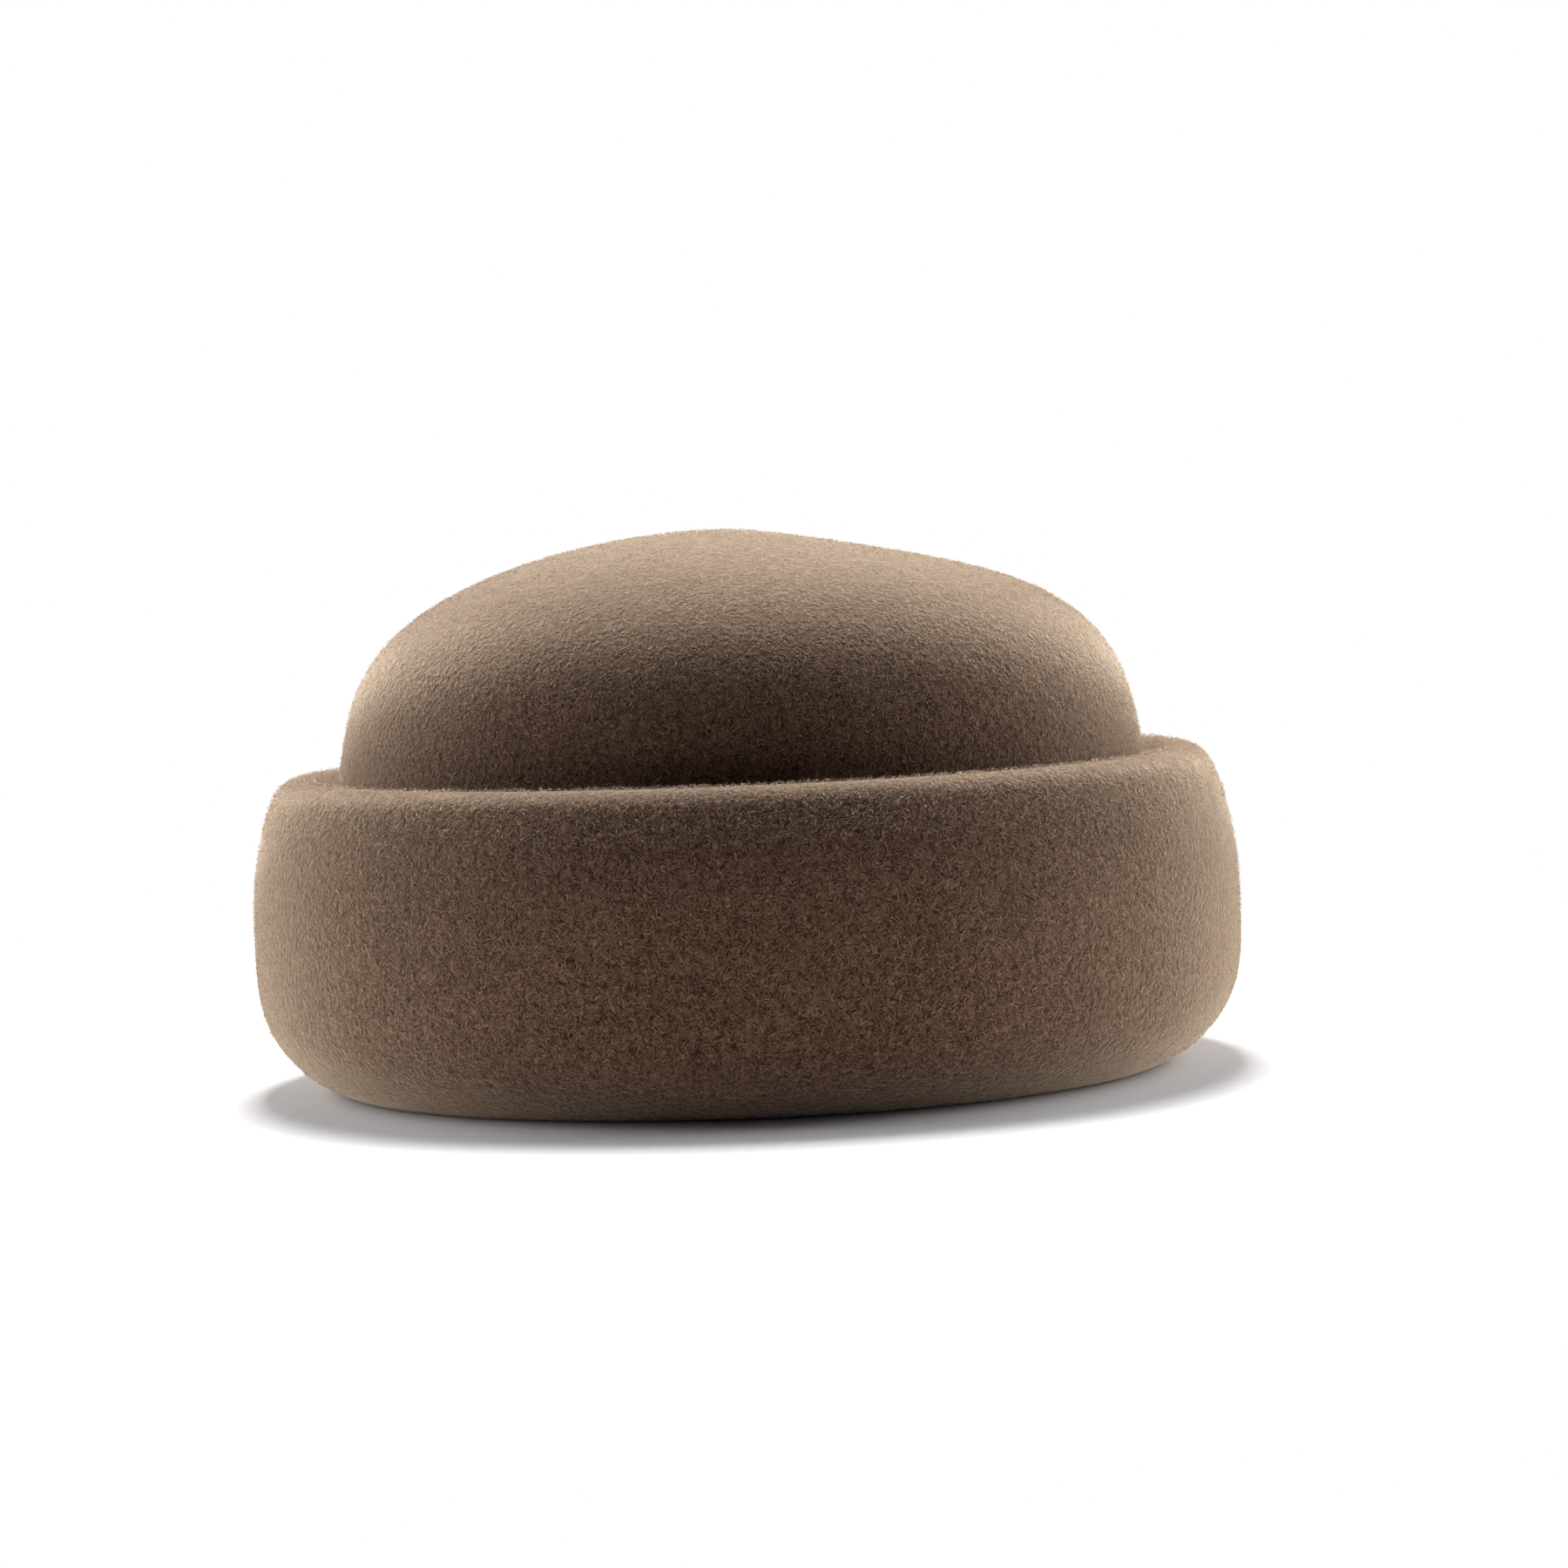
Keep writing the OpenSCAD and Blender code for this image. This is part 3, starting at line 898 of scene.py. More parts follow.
@dataclass(frozen=True)
class Nap:
    """Short curled fibres that stand out of a felt face.

    Each fibre is a slim spindle of six faces: a root in the felt, three points round a bent waist, and a
    tip. Roots are drawn at random over the face, evenly by area, and fibres lean every way.
    """

    count: int = 33000
    length: float = 0.9 * MM
    shortest: float = 0.55
    longest: float = 1.25
    width: float = 0.12 * MM
    sunk: float = 0.05 * MM
    bend: float = 0.8
    lowest_lift: float = math.radians(6)
    more_lift: float = math.radians(70)
    lift_power: float = 1.3
    seed: int = 1

    def roots(
        self, face: np.ndarray, chance: np.random.Generator
    ) -> tuple[np.ndarray, np.ndarray, np.ndarray]:
        """Draws places on a face.

        Args:
            face: Rows x columns x 3, with columns that run round.
            chance: Source of chance numbers.

        Returns:
            Places, outward directions and directions along the rows, each count x 3.
        """
        round_face = np.concatenate([face, face[:, :1]], axis=1)
        a = round_face[:-1, :-1].reshape(-1, 3)
        b = round_face[:-1, 1:].reshape(-1, 3)
        c = round_face[1:, 1:].reshape(-1, 3)
        d = round_face[1:, :-1].reshape(-1, 3)
        out = np.cross(c - a, d - b)
        area = np.linalg.norm(out, axis=1)
        chosen = chance.choice(len(area), self.count, p=area / area.sum())
        s, t = chance.random((2, self.count, 1))
        place = (1 - t) * ((1 - s) * a[chosen] + s * b[chosen]) + t * ((1 - s) * d[chosen] + s * c[chosen])
        out = unit(out[chosen])
        if np.einsum("ij,ij->i", out, place - face.mean(axis=(0, 1))).mean() < 0:
            out = -out
        return place, out, unit(b[chosen] - a[chosen])

    def build(self, name: str, face: np.ndarray) -> Piece:
        """Makes the fibres on a face as one mesh.

        A fibre goes half its length from its root at its lift, turns aside by its bend, and goes on to its
        tip at half that lift.

        Args:
            name: Name of the new object.
            face: Rows x columns x 3 of the felt's outside.

        Returns:
            The new object.
        """
        chance = np.random.default_rng(self.seed)
        place, out, along = self.roots(face, chance)
        across = np.cross(out, along)
        each = (self.count, 1)
        heading = chance.uniform(0, FULL_TURN, each)
        bend = chance.normal(0, self.bend, each)
        lift = self.lowest_lift + self.more_lift * chance.random(each) ** self.lift_power
        size = self.length * chance.uniform(self.shortest, self.longest, each)

        first = (along * np.cos(heading) + across * np.sin(heading)) * np.cos(lift) + out * np.sin(lift)
        later = along * np.cos(heading + bend) + across * np.sin(heading + bend)
        second = later * np.cos(lift / 2) + out * np.sin(lift / 2)
        root = place - out * self.sunk
        waist = root + first * size / 2
        tip = waist + second * size / 2
        side = unit(np.cross(first, out))
        over = np.cross(side, first)
        ring = [
            waist + self.width / 2 * (side * math.cos(angle) + over * math.sin(angle))
            for angle in round_angles(3)
        ]
        points = np.stack([root, *ring, tip], axis=1)
        shift = points.shape[1] * np.arange(self.count)[:, None, None]
        fibres = put_mesh(name, points.reshape(-1, 3), [(FIBRE_FACES + shift).reshape(-1, 3)])
        self.lay_maps(fibres, chance)
        return fibres

    def lay_maps(self, fibres: Piece, chance: np.random.Generator) -> None:
        """Gives the fibres a map of chance and length, and one with a cell for each fibre to be baked in.

        Args:
            fibres: The fibres.
            chance: Source of chance numbers.
        """
        length = FIBRE_SHARES[FIBRE_FACES].ravel()
        own = np.broadcast_to(chance.random((self.count, 1)), (self.count, length.size))
        lay_map(fibres, LENGTHS, np.stack([own, np.broadcast_to(length, own.shape)], axis=-1))
        cells = math.ceil(math.sqrt(self.count))
        number = np.arange(self.count)
        cell = np.stack([number % cells, number // cells], axis=1)[:, None, :]
        lay_map(fibres, BAKE, (cell + FIBRE_CELL[FIBRE_FACES].reshape(-1, 2)) / cells)


@dataclass(frozen=True)
class Head:
    """Oval of the head opening inside the sweatband, fuller towards the nape.

    At a turn t the oval pushed outward by a reach r is x = (width / 2 + r) cos t (1 + nape / width sin t)
    and y = (length / 2 + r) sin t.
    """

    length: float = 192 * MM
    width: float = 160 * MM
    nape: float = 3 * MM

    def oval(self, reach: np.ndarray | float, turn: np.ndarray | float) -> np.ndarray:
        """Points of the oval pushed outward.

        Args:
            reach: How far it is pushed outward.
            turn: Turn angles of the points.

        Returns:
            ... x 2.
        """
        x = (self.width / 2 + reach) * np.cos(turn) * (1 + self.nape / self.width * np.sin(turn))
        y = (self.length / 2 + reach) * np.sin(turn)
        return np.stack(np.broadcast_arrays(x, y), axis=-1)

    def carried(self, reach: np.ndarray, height: np.ndarray, turn: np.ndarray) -> np.ndarray:
        """Points of a section of reaches and heights carried round the oval, as ... x 3."""
        plan = self.oval(reach, turn)
        return np.concatenate([plan, np.broadcast_to(height, plan.shape[:-1])[..., None]], axis=-1)

    def heading(self, turn: np.ndarray) -> np.ndarray:
        """Directions along the oval: the way that it goes over a small step of the turn.

        Args:
            turn: Turn angles.

        Returns:
            ... x 3.
        """
        step = 0.01
        plan = unit(self.oval(0.0, turn + step) - self.oval(0.0, turn - step))
        return np.concatenate([plan, np.zeros_like(plan[..., :1])], axis=-1)

    def outward(self, turn: np.ndarray) -> np.ndarray:
        """Level directions straight out of the oval, ... x 3: the heading turned to the right."""
        along = self.heading(turn)
        return np.concatenate([turned_right(along), along[..., 2:]], axis=-1)

    def back_angle(self, length: float) -> float:
        """Turn taken by a length along the back: the arcsine of twice the length over the width there."""
        return math.asin(2 * length / (self.width + self.nape))

    def even_turns(self, reach: float, pitch: float) -> np.ndarray:
        """Turn angles of as many even steps as fit round the oval, from half a step past the front.

        Args:
            reach: How far the oval is pushed outward.
            pitch: Length of a step at the least.

        Returns:
            The angles.
        """
        around = math.pi * (self.width / 2 + self.length / 2 + 2 * reach)
        count = int(around // pitch)
        return FRONT + (np.arange(count) + 0.5) * FULL_TURN / count

    def open_turns(self, gap: float, count: int) -> np.ndarray:
        """Turn angles from one side of a gap at the back round to its other side."""
        half = self.back_angle(gap / 2)
        return BACK + np.linspace(half, FULL_TURN - half, count)

    def cord(
        self, centre: np.ndarray, radius: np.ndarray | float, turn: np.ndarray, sides: int
    ) -> np.ndarray:
        """Points of a cord that follows the oval at a section point.

        Args:
            centre: Reach and height of its middle.
            radius: Its radius at each turn, or one for all.
            turn: Turn angles of its rings.
            sides: Points round a ring.

        Returns:
            Turns x sides x 3.
        """
        angle = round_angles(sides)
        size = np.broadcast_to(radius, turn.shape)[:, None]
        return self.carried(centre[0] + size * np.cos(angle), centre[1] + size * np.sin(angle), turn[:, None])


@dataclass(frozen=True)
class Layers:
    """Thickness of each layer at the headline and the gaps between them."""

    felt: float = 2.4 * MM
    leather: float = 0.9 * MM
    reed: float = 1.0 * MM
    ease: float = 0.2 * MM

    @property
    def collar_reach(self) -> float:
        """Reach of the collar's inner face: the sweatband and its reed lie inside it."""
        return self.leather + 2 * self.ease + self.reed

    @property
    def crown_reach(self) -> float:
        """Reach of the crown's outer face: collar, gap and the crown's own felt."""
        return self.collar_reach + 2 * self.felt + self.ease


@dataclass(frozen=True)
class Stitch:
    """One stitch of thread: it comes out of the cloth, lies on its face and goes in again."""

    length: float = 4 * MM
    thickness: float = 0.5 * MM
    taper: float = 0.3
    pitch: float = 8 * MM
    margin: float = 4 * MM
    lay: float = 0.2 * MM
    rows: int = 7
    sides: int = 6

    @property
    def off(self) -> float:
        """Distance of the thread's middle from the face."""
        return self.lay + self.thickness / 2

    def points(self, middle: np.ndarray, along: np.ndarray, away: np.ndarray) -> np.ndarray:
        """Points of a row of stitches.

        At u from -1 to 1 along a stitch, the thread's line is its middle + u half its length along it,
        less u ^ 4 times its thickness and its distance from the face.

        Args:
            middle: Middle of each stitch, stitches x 3.
            along: Direction of each stitch.
            away: Direction away from the face.

        Returns:
            Stitches x rows x sides x 3.
        """
        u = np.linspace(-1, 1, self.rows)[None, :, None]
        dip = (self.lay + self.thickness) * u**4
        line = middle[:, None] + along[:, None] * (self.length / 2 * u) - away[:, None] * dip
        radius = np.broadcast_to(self.thickness / 2 * (1 - self.taper * u**4), (len(middle), self.rows, 1))
        return tube(line, away[:, None], np.cross(along, away)[:, None], radius, self.sides)


HEAD = Head()
LAYERS = Layers()
STITCH = Stitch()


@dataclass(frozen=True)
class SubAssembly:
    """A group of pieces of the hat that are made together."""

    pieces: list[Piece] = field(default_factory=list, init=False)

    def add(self, name: str, points: np.ndarray, closing: Closing, finish: Finish, *nodes: str) -> Piece:
        """Makes a piece, dresses it and sets it on the hat.

        Args:
            name: Name of the piece.
            points: Its grid of points, or several equal grids.
            closing: How the grid is closed.
            finish: Its finish.
            *nodes: The solids that the piece stands for.

        Returns:
            The piece.
        """
        piece = make_skin(name, points, closing)
        self.dress(piece, finish, *nodes)
        return piece

    def dress(self, piece: Piece, finish: Finish, *nodes: str) -> None:
        """Gives a piece its finish and sets it on the hat.

        Args:
            piece: The piece.
            finish: Its finish.
            *nodes: The solids that it stands for, if there are any.
        """
        piece.data.materials.append(finish.material())
        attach(piece, "root")
        if nodes:
            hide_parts(*nodes)
        self.pieces.append(piece)

    def sew(self, name: str, middle: np.ndarray, along: np.ndarray, away: np.ndarray, node: str) -> None:
        """Sews a row of stitches.

        Args:
            name: Name of the piece.
            middle: Middle of each stitch, stitches x 3.
            along: Direction of each stitch.
            away: Direction away from the face that it lies on.
            node: The solids that the row stands for.
        """
        self.add(name, STITCH.points(middle, along, away), Closing.CAPPED, Thread(), node)

    def sew_round(self, name: str, reach: float, height: float, facing: Facing, node: str) -> None:
        """Sews a level row of stitches once round the oval, on an upright face.

        Args:
            name: Name of the piece.
            reach: Reach of the face.
            height: Height of the row.
            facing: Where the face looks to.
            node: The solids that the row stands for.
        """
        reach += facing.value * STITCH.off
        turn = HEAD.even_turns(reach, STITCH.pitch)
        middle = HEAD.carried(reach, height, turn)
        self.sew(name, middle, HEAD.heading(turn), facing.value * HEAD.outward(turn), node)


@dataclass(frozen=True)
class Crown(SubAssembly):
    """Felt crown, blocked to a dome.

    Share of the plan s and share of the height w obey s ^ top_power + w ^ shoulder_power = 1. The wall
    leans in with the square of w, and the top stands up in front and drops behind.
    """

    height: float = 134.8 * MM
    base: float = 3.35 * MM
    lean: float = 11.3 * MM
    rake: float = 6.4 * MM
    shoulder_power: float = 9.7
    top_power: float = 1.27
    soft_top: float = 0.06
    wall_top: float = 0.6
    pole: float = 0.004
    nap_from: float = 45 * MM
    wall_steps: int = 400
    top_steps: int = 2000
    rows: int = 96
    columns: int = 240

    def share_at(self, rise: np.ndarray | float) -> np.ndarray | float:
        """Share of the plan at a share of the height."""
        return (1 - rise**self.shoulder_power) ** (1 / self.top_power)

    def profile(self, first: float, last: float, count: int) -> np.ndarray:
        """Evenly spaced shares of plan and height along the dome's profile.

        Args:
            first: Share of the height at the lower end.
            last: Share of the plan at the upper end.
            count: Number of points.

        Returns:
            count x 2, each a share of the plan and a share of the height.
        """
        wall_rise = np.linspace(first, max(first, self.wall_top), self.wall_steps)
        top_share = np.linspace(self.share_at(wall_rise[-1]), last, self.top_steps)[1:]
        rounded = np.sqrt(top_share**2 + self.soft_top**2 * (1 - top_share**2))
        top_rise = (1 - rounded**self.top_power) ** (1 / self.shoulder_power)
        share = np.concatenate([self.share_at(wall_rise), top_share])
        rise = np.concatenate([wall_rise, top_rise])
        across = share * (HEAD.width + HEAD.length) / 4
        steps = np.hypot(np.diff(across), np.diff(rise) * self.height)
        run = np.concatenate([[0.0], np.cumsum(steps)])
        even = np.linspace(0, run[-1], count)
        return np.stack([np.interp(even, run, share), np.interp(even, run, rise)], axis=1)

    def dome(self, depth: float | np.ndarray, profile: np.ndarray, turn: np.ndarray) -> np.ndarray:
        """Points of the crown's form sunk by a depth.

        With s the share of the plan after the lean, the rake takes rake sin t s (1 - s ^ 2) ^ 3 off the
        height at a turn t.

        Args:
            depth: Distance inside the crown's outer face, one for all or rows x columns.
            profile: Rows x 2, shares of plan and height.
            turn: Turn angles of the columns.

        Returns:
            Rows x columns x 3.
        """
        share = profile[:, :1]
        rise = profile[:, 1:]
        leaning = self.lean * rise**2 / (HEAD.length / 2 + LAYERS.crown_reach)
        spread = share * (1 - leaning)
        plan = HEAD.oval(LAYERS.crown_reach - depth, turn) * spread[..., None]
        tip = self.rake * np.sin(turn) * spread * (1 - spread**2) ** 3
        height = self.base + rise * (self.height - depth - self.base) - tip
        return np.concatenate([plan, height[..., None]], axis=-1)

    def build(self) -> None:
        """Shell of felt: the inside from its top down, round the lower edge and up the outside."""
        turn = round_angles(self.columns)
        profile = self.profile(0.0, self.pole, self.rows)
        inside = self.dome(LAYERS.felt, profile[::-1], turn)
        outside = self.dome(0.0, profile, turn)
        self.add("felt_crown", np.concatenate([inside, outside]), Closing.CAPPED, Felt(), "crown")
        shown = outside[outside[:, :, 2].min(axis=1) > self.nap_from]
        half = len(shown) // 2
        self.dress(Nap(seed=1).build("crown_nap_lower", shown[:half + 1]), NapFibre())
        self.dress(Nap(seed=2).build("crown_nap_upper", shown[half:]), NapFibre())
        height = self.base + STITCH.margin
        self.sew_round("headline_thread", LAYERS.crown_reach, height, Facing.OUTWARD, "headline_stitches")


@dataclass(frozen=True)
class Brim(SubAssembly):
    """Felt brim in one piece: collar inside the crown, bowl, upright cuff, rolled rim and hem.

    The bowl is a superellipse from its foot to the cuff's widest point, and the wall leans in with a
    power of its height share. The roll is half a circle, and the hem closes in on the wall below it.
    """

    collar_height: float = 14 * MM
    bend_inside: float = 0.3 * MM
    rest_land: float = 1 * MM
    cuff_reach: float = 26.1 * MM
    cuff_widest: float = 37 * MM
    cuff_height: float = 77 * MM
    cuff_lean: float = 6.3 * MM
    hem_depth: float = 18 * MM
    bowl_flare: float = 1.15
    bowl_depth: float = 3.3
    bowl_crowding: float = 1.65
    wall_curl: float = 2.6
    rim_radius: float = 7.51 * MM
    wire_room: float = 1.2 * MM
    neck_share: float = 0.75
    nap_from: float = 3 * MM
    rim_fibre: float = 1.3 * MM
    rim_lift: float = 0.9
    collar_rows: int = 10
    bend_rows: int = 12
    bowl_rows: int = 56
    wall_rows: int = 40
    roll_rows: int = 26
    hem_rows: int = 24
    hollow_rows: int = 14
    end_rows: int = 9
    rim_nap_rows: int = 34
    columns: int = 240

    @property
    def roll_inside(self) -> float:
        """Inner radius of the rim's roll."""
        return self.rim_radius - LAYERS.felt

    @property
    def wire_centre(self) -> np.ndarray:
        """Reach and height of the wire, which lies under the top of the roll."""
        return self.fold(0.0, 0, 0, 1)[0] + np.array([0.0, self.roll_inside - self.wire_room])

    @property
    def wall_rise(self) -> float:
        """Height of the wall from the widest point to where the fold begins."""
        span = self.cuff_height - self.rim_radius - self.cuff_widest
        return span + self.rim_radius * math.sin(math.atan(self.cuff_lean * self.wall_curl / span))

    def wall(self, share: np.ndarray) -> tuple[np.ndarray, np.ndarray]:
        """Wall's outside: its reach falls by the lean times a power of the share of its height.

        Args:
            share: Shares of the wall's height.

        Returns:
            Points and outward directions, each shares x 2.
        """
        reach = self.cuff_reach - self.cuff_lean * share**self.wall_curl
        slope = self.cuff_lean * self.wall_curl * share ** (self.wall_curl - 1)
        points = np.stack([reach, self.cuff_widest + self.wall_rise * share], axis=-1)
        return points, unit(np.stack([np.full_like(share, self.wall_rise), slope], axis=-1))

    def hem(self, share: np.ndarray, layers: int) -> np.ndarray:
        """Face of the hem: layers of felt inside the wall, with a gap that opens smoothly to the roll.

        Args:
            share: Shares of the wall's height.
            layers: 1 for the face that looks at the wall, 2 for the face that looks at the crown.

        Returns:
            Shares x 2.
        """
        below = (1 - share) * self.wall_rise / (self.neck_share * self.hem_depth)
        opened = np.maximum(0, 1 - below)
        gap = LAYERS.ease + (2 * self.roll_inside - LAYERS.ease) * opened**2 * (3 - 2 * opened)
        points, out = self.wall(share)
        return points - out * (layers * LAYERS.felt + gap)[:, None]

    def fold(self, radius: float, first: float, last: float, count: int) -> np.ndarray:
        """Arc of the rim's roll.

        Args:
            radius: Its radius.
            first: Angle at its start in degrees, from where the wall ends.
            last: Angle at its end.
            count: Number of points.

        Returns:
            count x 2.
        """
        points, out = self.wall(np.ones(1))
        angle = math.atan2(out[0, 1], out[0, 0]) + np.radians(np.linspace(first, last, count))
        centre = points[0] - self.rim_radius * out[0]
        return centre + radius * np.stack([np.cos(angle), np.sin(angle)], axis=1)

    def round_end(self, first: np.ndarray, last: np.ndarray) -> np.ndarray:
        """Half circle over a raw edge of felt.

        Args:
            first: Where it starts, on one face.
            last: Where it ends, on the other.

        Returns:
            Points x 2 between the two.
        """
        across = (first - last) / 2
        angle = np.radians(np.linspace(0, 180, self.end_rows))[1:-1, None]
        return (first + last) / 2 + across * np.cos(angle) - turned_right(across) * np.sin(angle)

    def outside(self) -> np.ndarray:
        """Section of the outside from the collar's top down, round the bend, up the bowl and the wall.

        Returns:
            Points x 2, as reach and height.
        """
        bend = LAYERS.felt + self.bend_inside
        inner = LAYERS.collar_reach
        foot = inner + bend + self.rest_land
        drop = np.linspace(self.collar_height, bend, self.collar_rows)[:-1]
        collar = np.stack([np.full_like(drop, inner), drop], axis=1)
        angle = np.radians(np.linspace(180, 270, self.bend_rows))
        corner = np.stack([inner + bend + bend * np.cos(angle), bend + bend * np.sin(angle)], axis=1)
        climb = math.pi / 2 * (1 - (1 - np.linspace(0, 1, self.bowl_rows)) ** self.bowl_crowding)
        reach = foot + (self.cuff_reach - foot) * np.sin(climb) ** (2 / self.bowl_flare)
        height = self.cuff_widest * (1 - np.abs(np.cos(climb)) ** (2 / self.bowl_depth))
        wall = self.wall(np.linspace(0, 1, self.wall_rows)[1:])[0]
        return np.concatenate([collar, corner, np.stack([reach, height], axis=1), wall])

    def section(self) -> np.ndarray:
        """Closed section of the whole brim, which is the outside, the rim, the hem and the inside in turn.

        Returns:
            Points x 2, as reach and height.
        """
        outside = self.outside()
        inside = outside - LAYERS.felt * unit(turned_right(np.gradient(outside, axis=0)))
        down = np.linspace(1, 1 - self.hem_depth / self.wall_rise, self.hem_rows)
        hem_face = self.hem(down, 2)
        hem_back = self.hem(down[::-1], 1)
        return np.concatenate(
            [
                outside,
                self.fold(self.rim_radius, 0, 180, self.roll_rows)[1:-1],
                hem_face,
                self.round_end(hem_face[-1], hem_back[0]),
                hem_back,
                self.fold(self.roll_inside, 180, 0, self.hollow_rows)[1:-1],
                inside[::-1],
                self.round_end(inside[0], outside[0]),
            ]
        )

    def build(self) -> None:
        """Section of the brim carried once round the head oval, its nap and the hem's thread."""
        section = self.section()
        points = HEAD.carried(section[:, :1], section[:, 1:], round_angles(self.columns))
        self.add("felt_brim", points, Closing.RING, Felt(), "brim_cuff")
        first = self.collar_rows - 1 + self.bend_rows
        shown = points[first:first + self.bowl_rows + self.wall_rows - 1 + self.roll_rows - 2]
        clear = shown[shown[:, :, 2].min(axis=1) > self.nap_from]
        self.dress(Nap(seed=3).build("cuff_nap", clear[:1 - self.rim_nap_rows]), NapFibre())
        rim = Nap(seed=4, length=self.rim_fibre, lift_power=self.rim_lift)
        self.dress(rim.build("rim_nap", clear[-self.rim_nap_rows:]), NapFibre())
        self.sew_hem()

    def sew_hem(self) -> None:
        """Stitches along the hem's lower edge, on the face that looks at the crown."""
        share = np.array([1 - (self.hem_depth - STITCH.margin) / self.wall_rise])
        out = self.wall(share)[1][0]
        reach, height = self.hem(share, 2)[0] - STITCH.off * out
        turn = HEAD.even_turns(reach, STITCH.pitch)
        away = -(HEAD.outward(turn) * out[0] + np.array([0.0, 0.0, out[1]]))
        self.sew("hem_thread", HEAD.carried(reach, height, turn), HEAD.heading(turn), away, "hem_stitches")


@dataclass(frozen=True)
class EdgeWire(SubAssembly):
    """Steel wire under the top of the rim's roll, with a crimped sleeve over its two ends."""

    brim: Brim = field(default_factory=Brim)
    thickness: float = 1.2 * MM
    gap: float = 0.8 * MM
    sleeve_length: float = 14 * MM
    sleeve_radius: float = 1.0 * MM
    sleeve_wall: float = 0.3 * MM
    crimp: float = 0.07 * MM
    crimp_place: float = 0.5
    crimp_width: float = 0.14
    rows: int = 300
    sides: int = 10
    sleeve_rows: int = 33
    sleeve_sides: int = 16

    def build(self) -> None:
        """Wire from one side of its gap round to the other, then the sleeve's outside and inside."""
        centre = self.brim.wire_centre
        wire = HEAD.cord(centre, self.thickness / 2, HEAD.open_turns(self.gap, self.rows), self.sides)
        self.add("rim_wire", wire, Closing.CAPPED, Steel(), "edge_wire")
        spot = np.linspace(-1, 1, self.sleeve_rows)
        dent = self.crimp * np.exp(-(((np.abs(spot) - self.crimp_place) / self.crimp_width) ** 2))
        turn = BACK + spot * HEAD.back_angle(self.sleeve_length / 2)
        outside = HEAD.cord(centre, self.sleeve_radius - dent, turn, self.sleeve_sides)
        inside = HEAD.cord(centre, self.sleeve_radius - self.sleeve_wall - dent, turn, self.sleeve_sides)
        sleeve = np.concatenate([outside, inside[::-1]])
        self.add("wire_sleeve", sleeve, Closing.RING, Steel(), "wire_joiner")


@dataclass(frozen=True)
class Sweatband(SubAssembly):
    """Leather band with its ends meeting at the back, on a reed and a tape, and its seams.

    The band's inner face has two tooled lines under its top edge, and its upper part waves a little.
    """

    height: float = 48 * MM
    foot: float = 0.2 * MM
    seam_gap: float = 0.6 * MM
    tape: float = 0.4 * MM
    tape_height: float = 9 * MM
    tooled: tuple[float, float] = (3.4 * MM, 5.0 * MM)
    tool_depth: float = 0.16 * MM
    tool_width: float = 0.35 * MM
    tool_zone: float = 7 * MM
    wave: float = 0.3 * MM
    wave_middle: float = 0.5
    waves: Waves = ((0.3, 5, 0.7), (0.2, 11, 0.0))
    seam_slant: float = math.radians(30)
    zone_rows: int = 36
    plain_rows: int = 22
    tape_rows: int = 8
    reed_sides: int = 12
    columns: int = 360

    def build(self) -> None:
        """Band, reed and tape carried round the oval, then the thread."""
        self.add("leather_band", self.band(), Closing.CAPPED, Leather(), "sweatband")
        centre = np.array([LAYERS.leather + LAYERS.ease + LAYERS.reed / 2, self.foot + LAYERS.reed / 2])
        reed = HEAD.cord(centre, LAYERS.reed / 2, round_angles(self.columns), self.reed_sides)
        self.add("band_reed", reed, Closing.RING, Reed(), "sweatband_reed")
        reach = LAYERS.leather + LAYERS.ease
        low = self.foot + LAYERS.reed + LAYERS.ease
        edge = self.tape / 2
        heights = np.linspace(low + self.tape_height - edge, low + edge, self.tape_rows)
        section = slab((reach, reach + self.tape), heights)
        turn = HEAD.open_turns(self.seam_gap, self.columns)[:, None]
        tape = HEAD.carried(section[:, 0], section[:, 1], turn)
        self.add("band_tape", tape, Closing.CAPPED, Tape(), "reed_tape")
        self.sew_round("band_thread", 0.0, self.foot + STITCH.margin, Facing.INWARD, "sweatband_stitches")
        self.sew_seam()

    def band(self) -> np.ndarray:
        """Points of the leather: a thin slab, less the tooled lines, shifted inward by its wave.

        A tooled line is a bell curve of the height. The wave grows with the square of the height and
        fades out towards the back seam.

        Returns:
            Columns x section points x 3.
        """
        edge = LAYERS.leather / 2
        top = self.foot + self.height - edge
        fine = np.linspace(top, top - self.tool_zone, self.zone_rows)
        heights = np.concatenate([fine, np.linspace(fine[-1], self.foot + edge, self.plain_rows)[1:]])
        section = slab((0.0, LAYERS.leather), heights)
        below = self.foot + self.height - section[:, 1]
        lines = sum(np.exp(-(((below - place) / self.tool_width) ** 2)) for place in self.tooled)
        section[:, 0] += np.where(section[:, 0] < edge / 2, self.tool_depth * lines, 0.0)
        turn = HEAD.open_turns(self.seam_gap, self.columns)[:, None]
        rise = (section[:, 1] / self.height) ** 2
        ripple = self.wave_middle + wave_sum(turn, self.waves)
        quiet = np.sin((turn - BACK) / 2) ** 2
        return HEAD.carried(section[:, 0] - self.wave * rise * ripple * quiet, section[:, 1], turn)

    def sew_seam(self) -> None:
        """Slanted stitches across the back seam, one above the other, with two margins under the lowest."""
        count = int((self.height - 3 * STITCH.margin) // STITCH.margin)
        turn = np.full(count, BACK)
        middle = HEAD.carried(-STITCH.off, self.foot + STITCH.margin * (np.arange(count) + 2), turn)
        level = HEAD.heading(turn) * math.cos(self.seam_slant)
        along = level - np.array([0.0, 0.0, math.sin(self.seam_slant)])
        self.sew("seam_thread", middle, along, -HEAD.outward(turn), "back_seam_stitches")


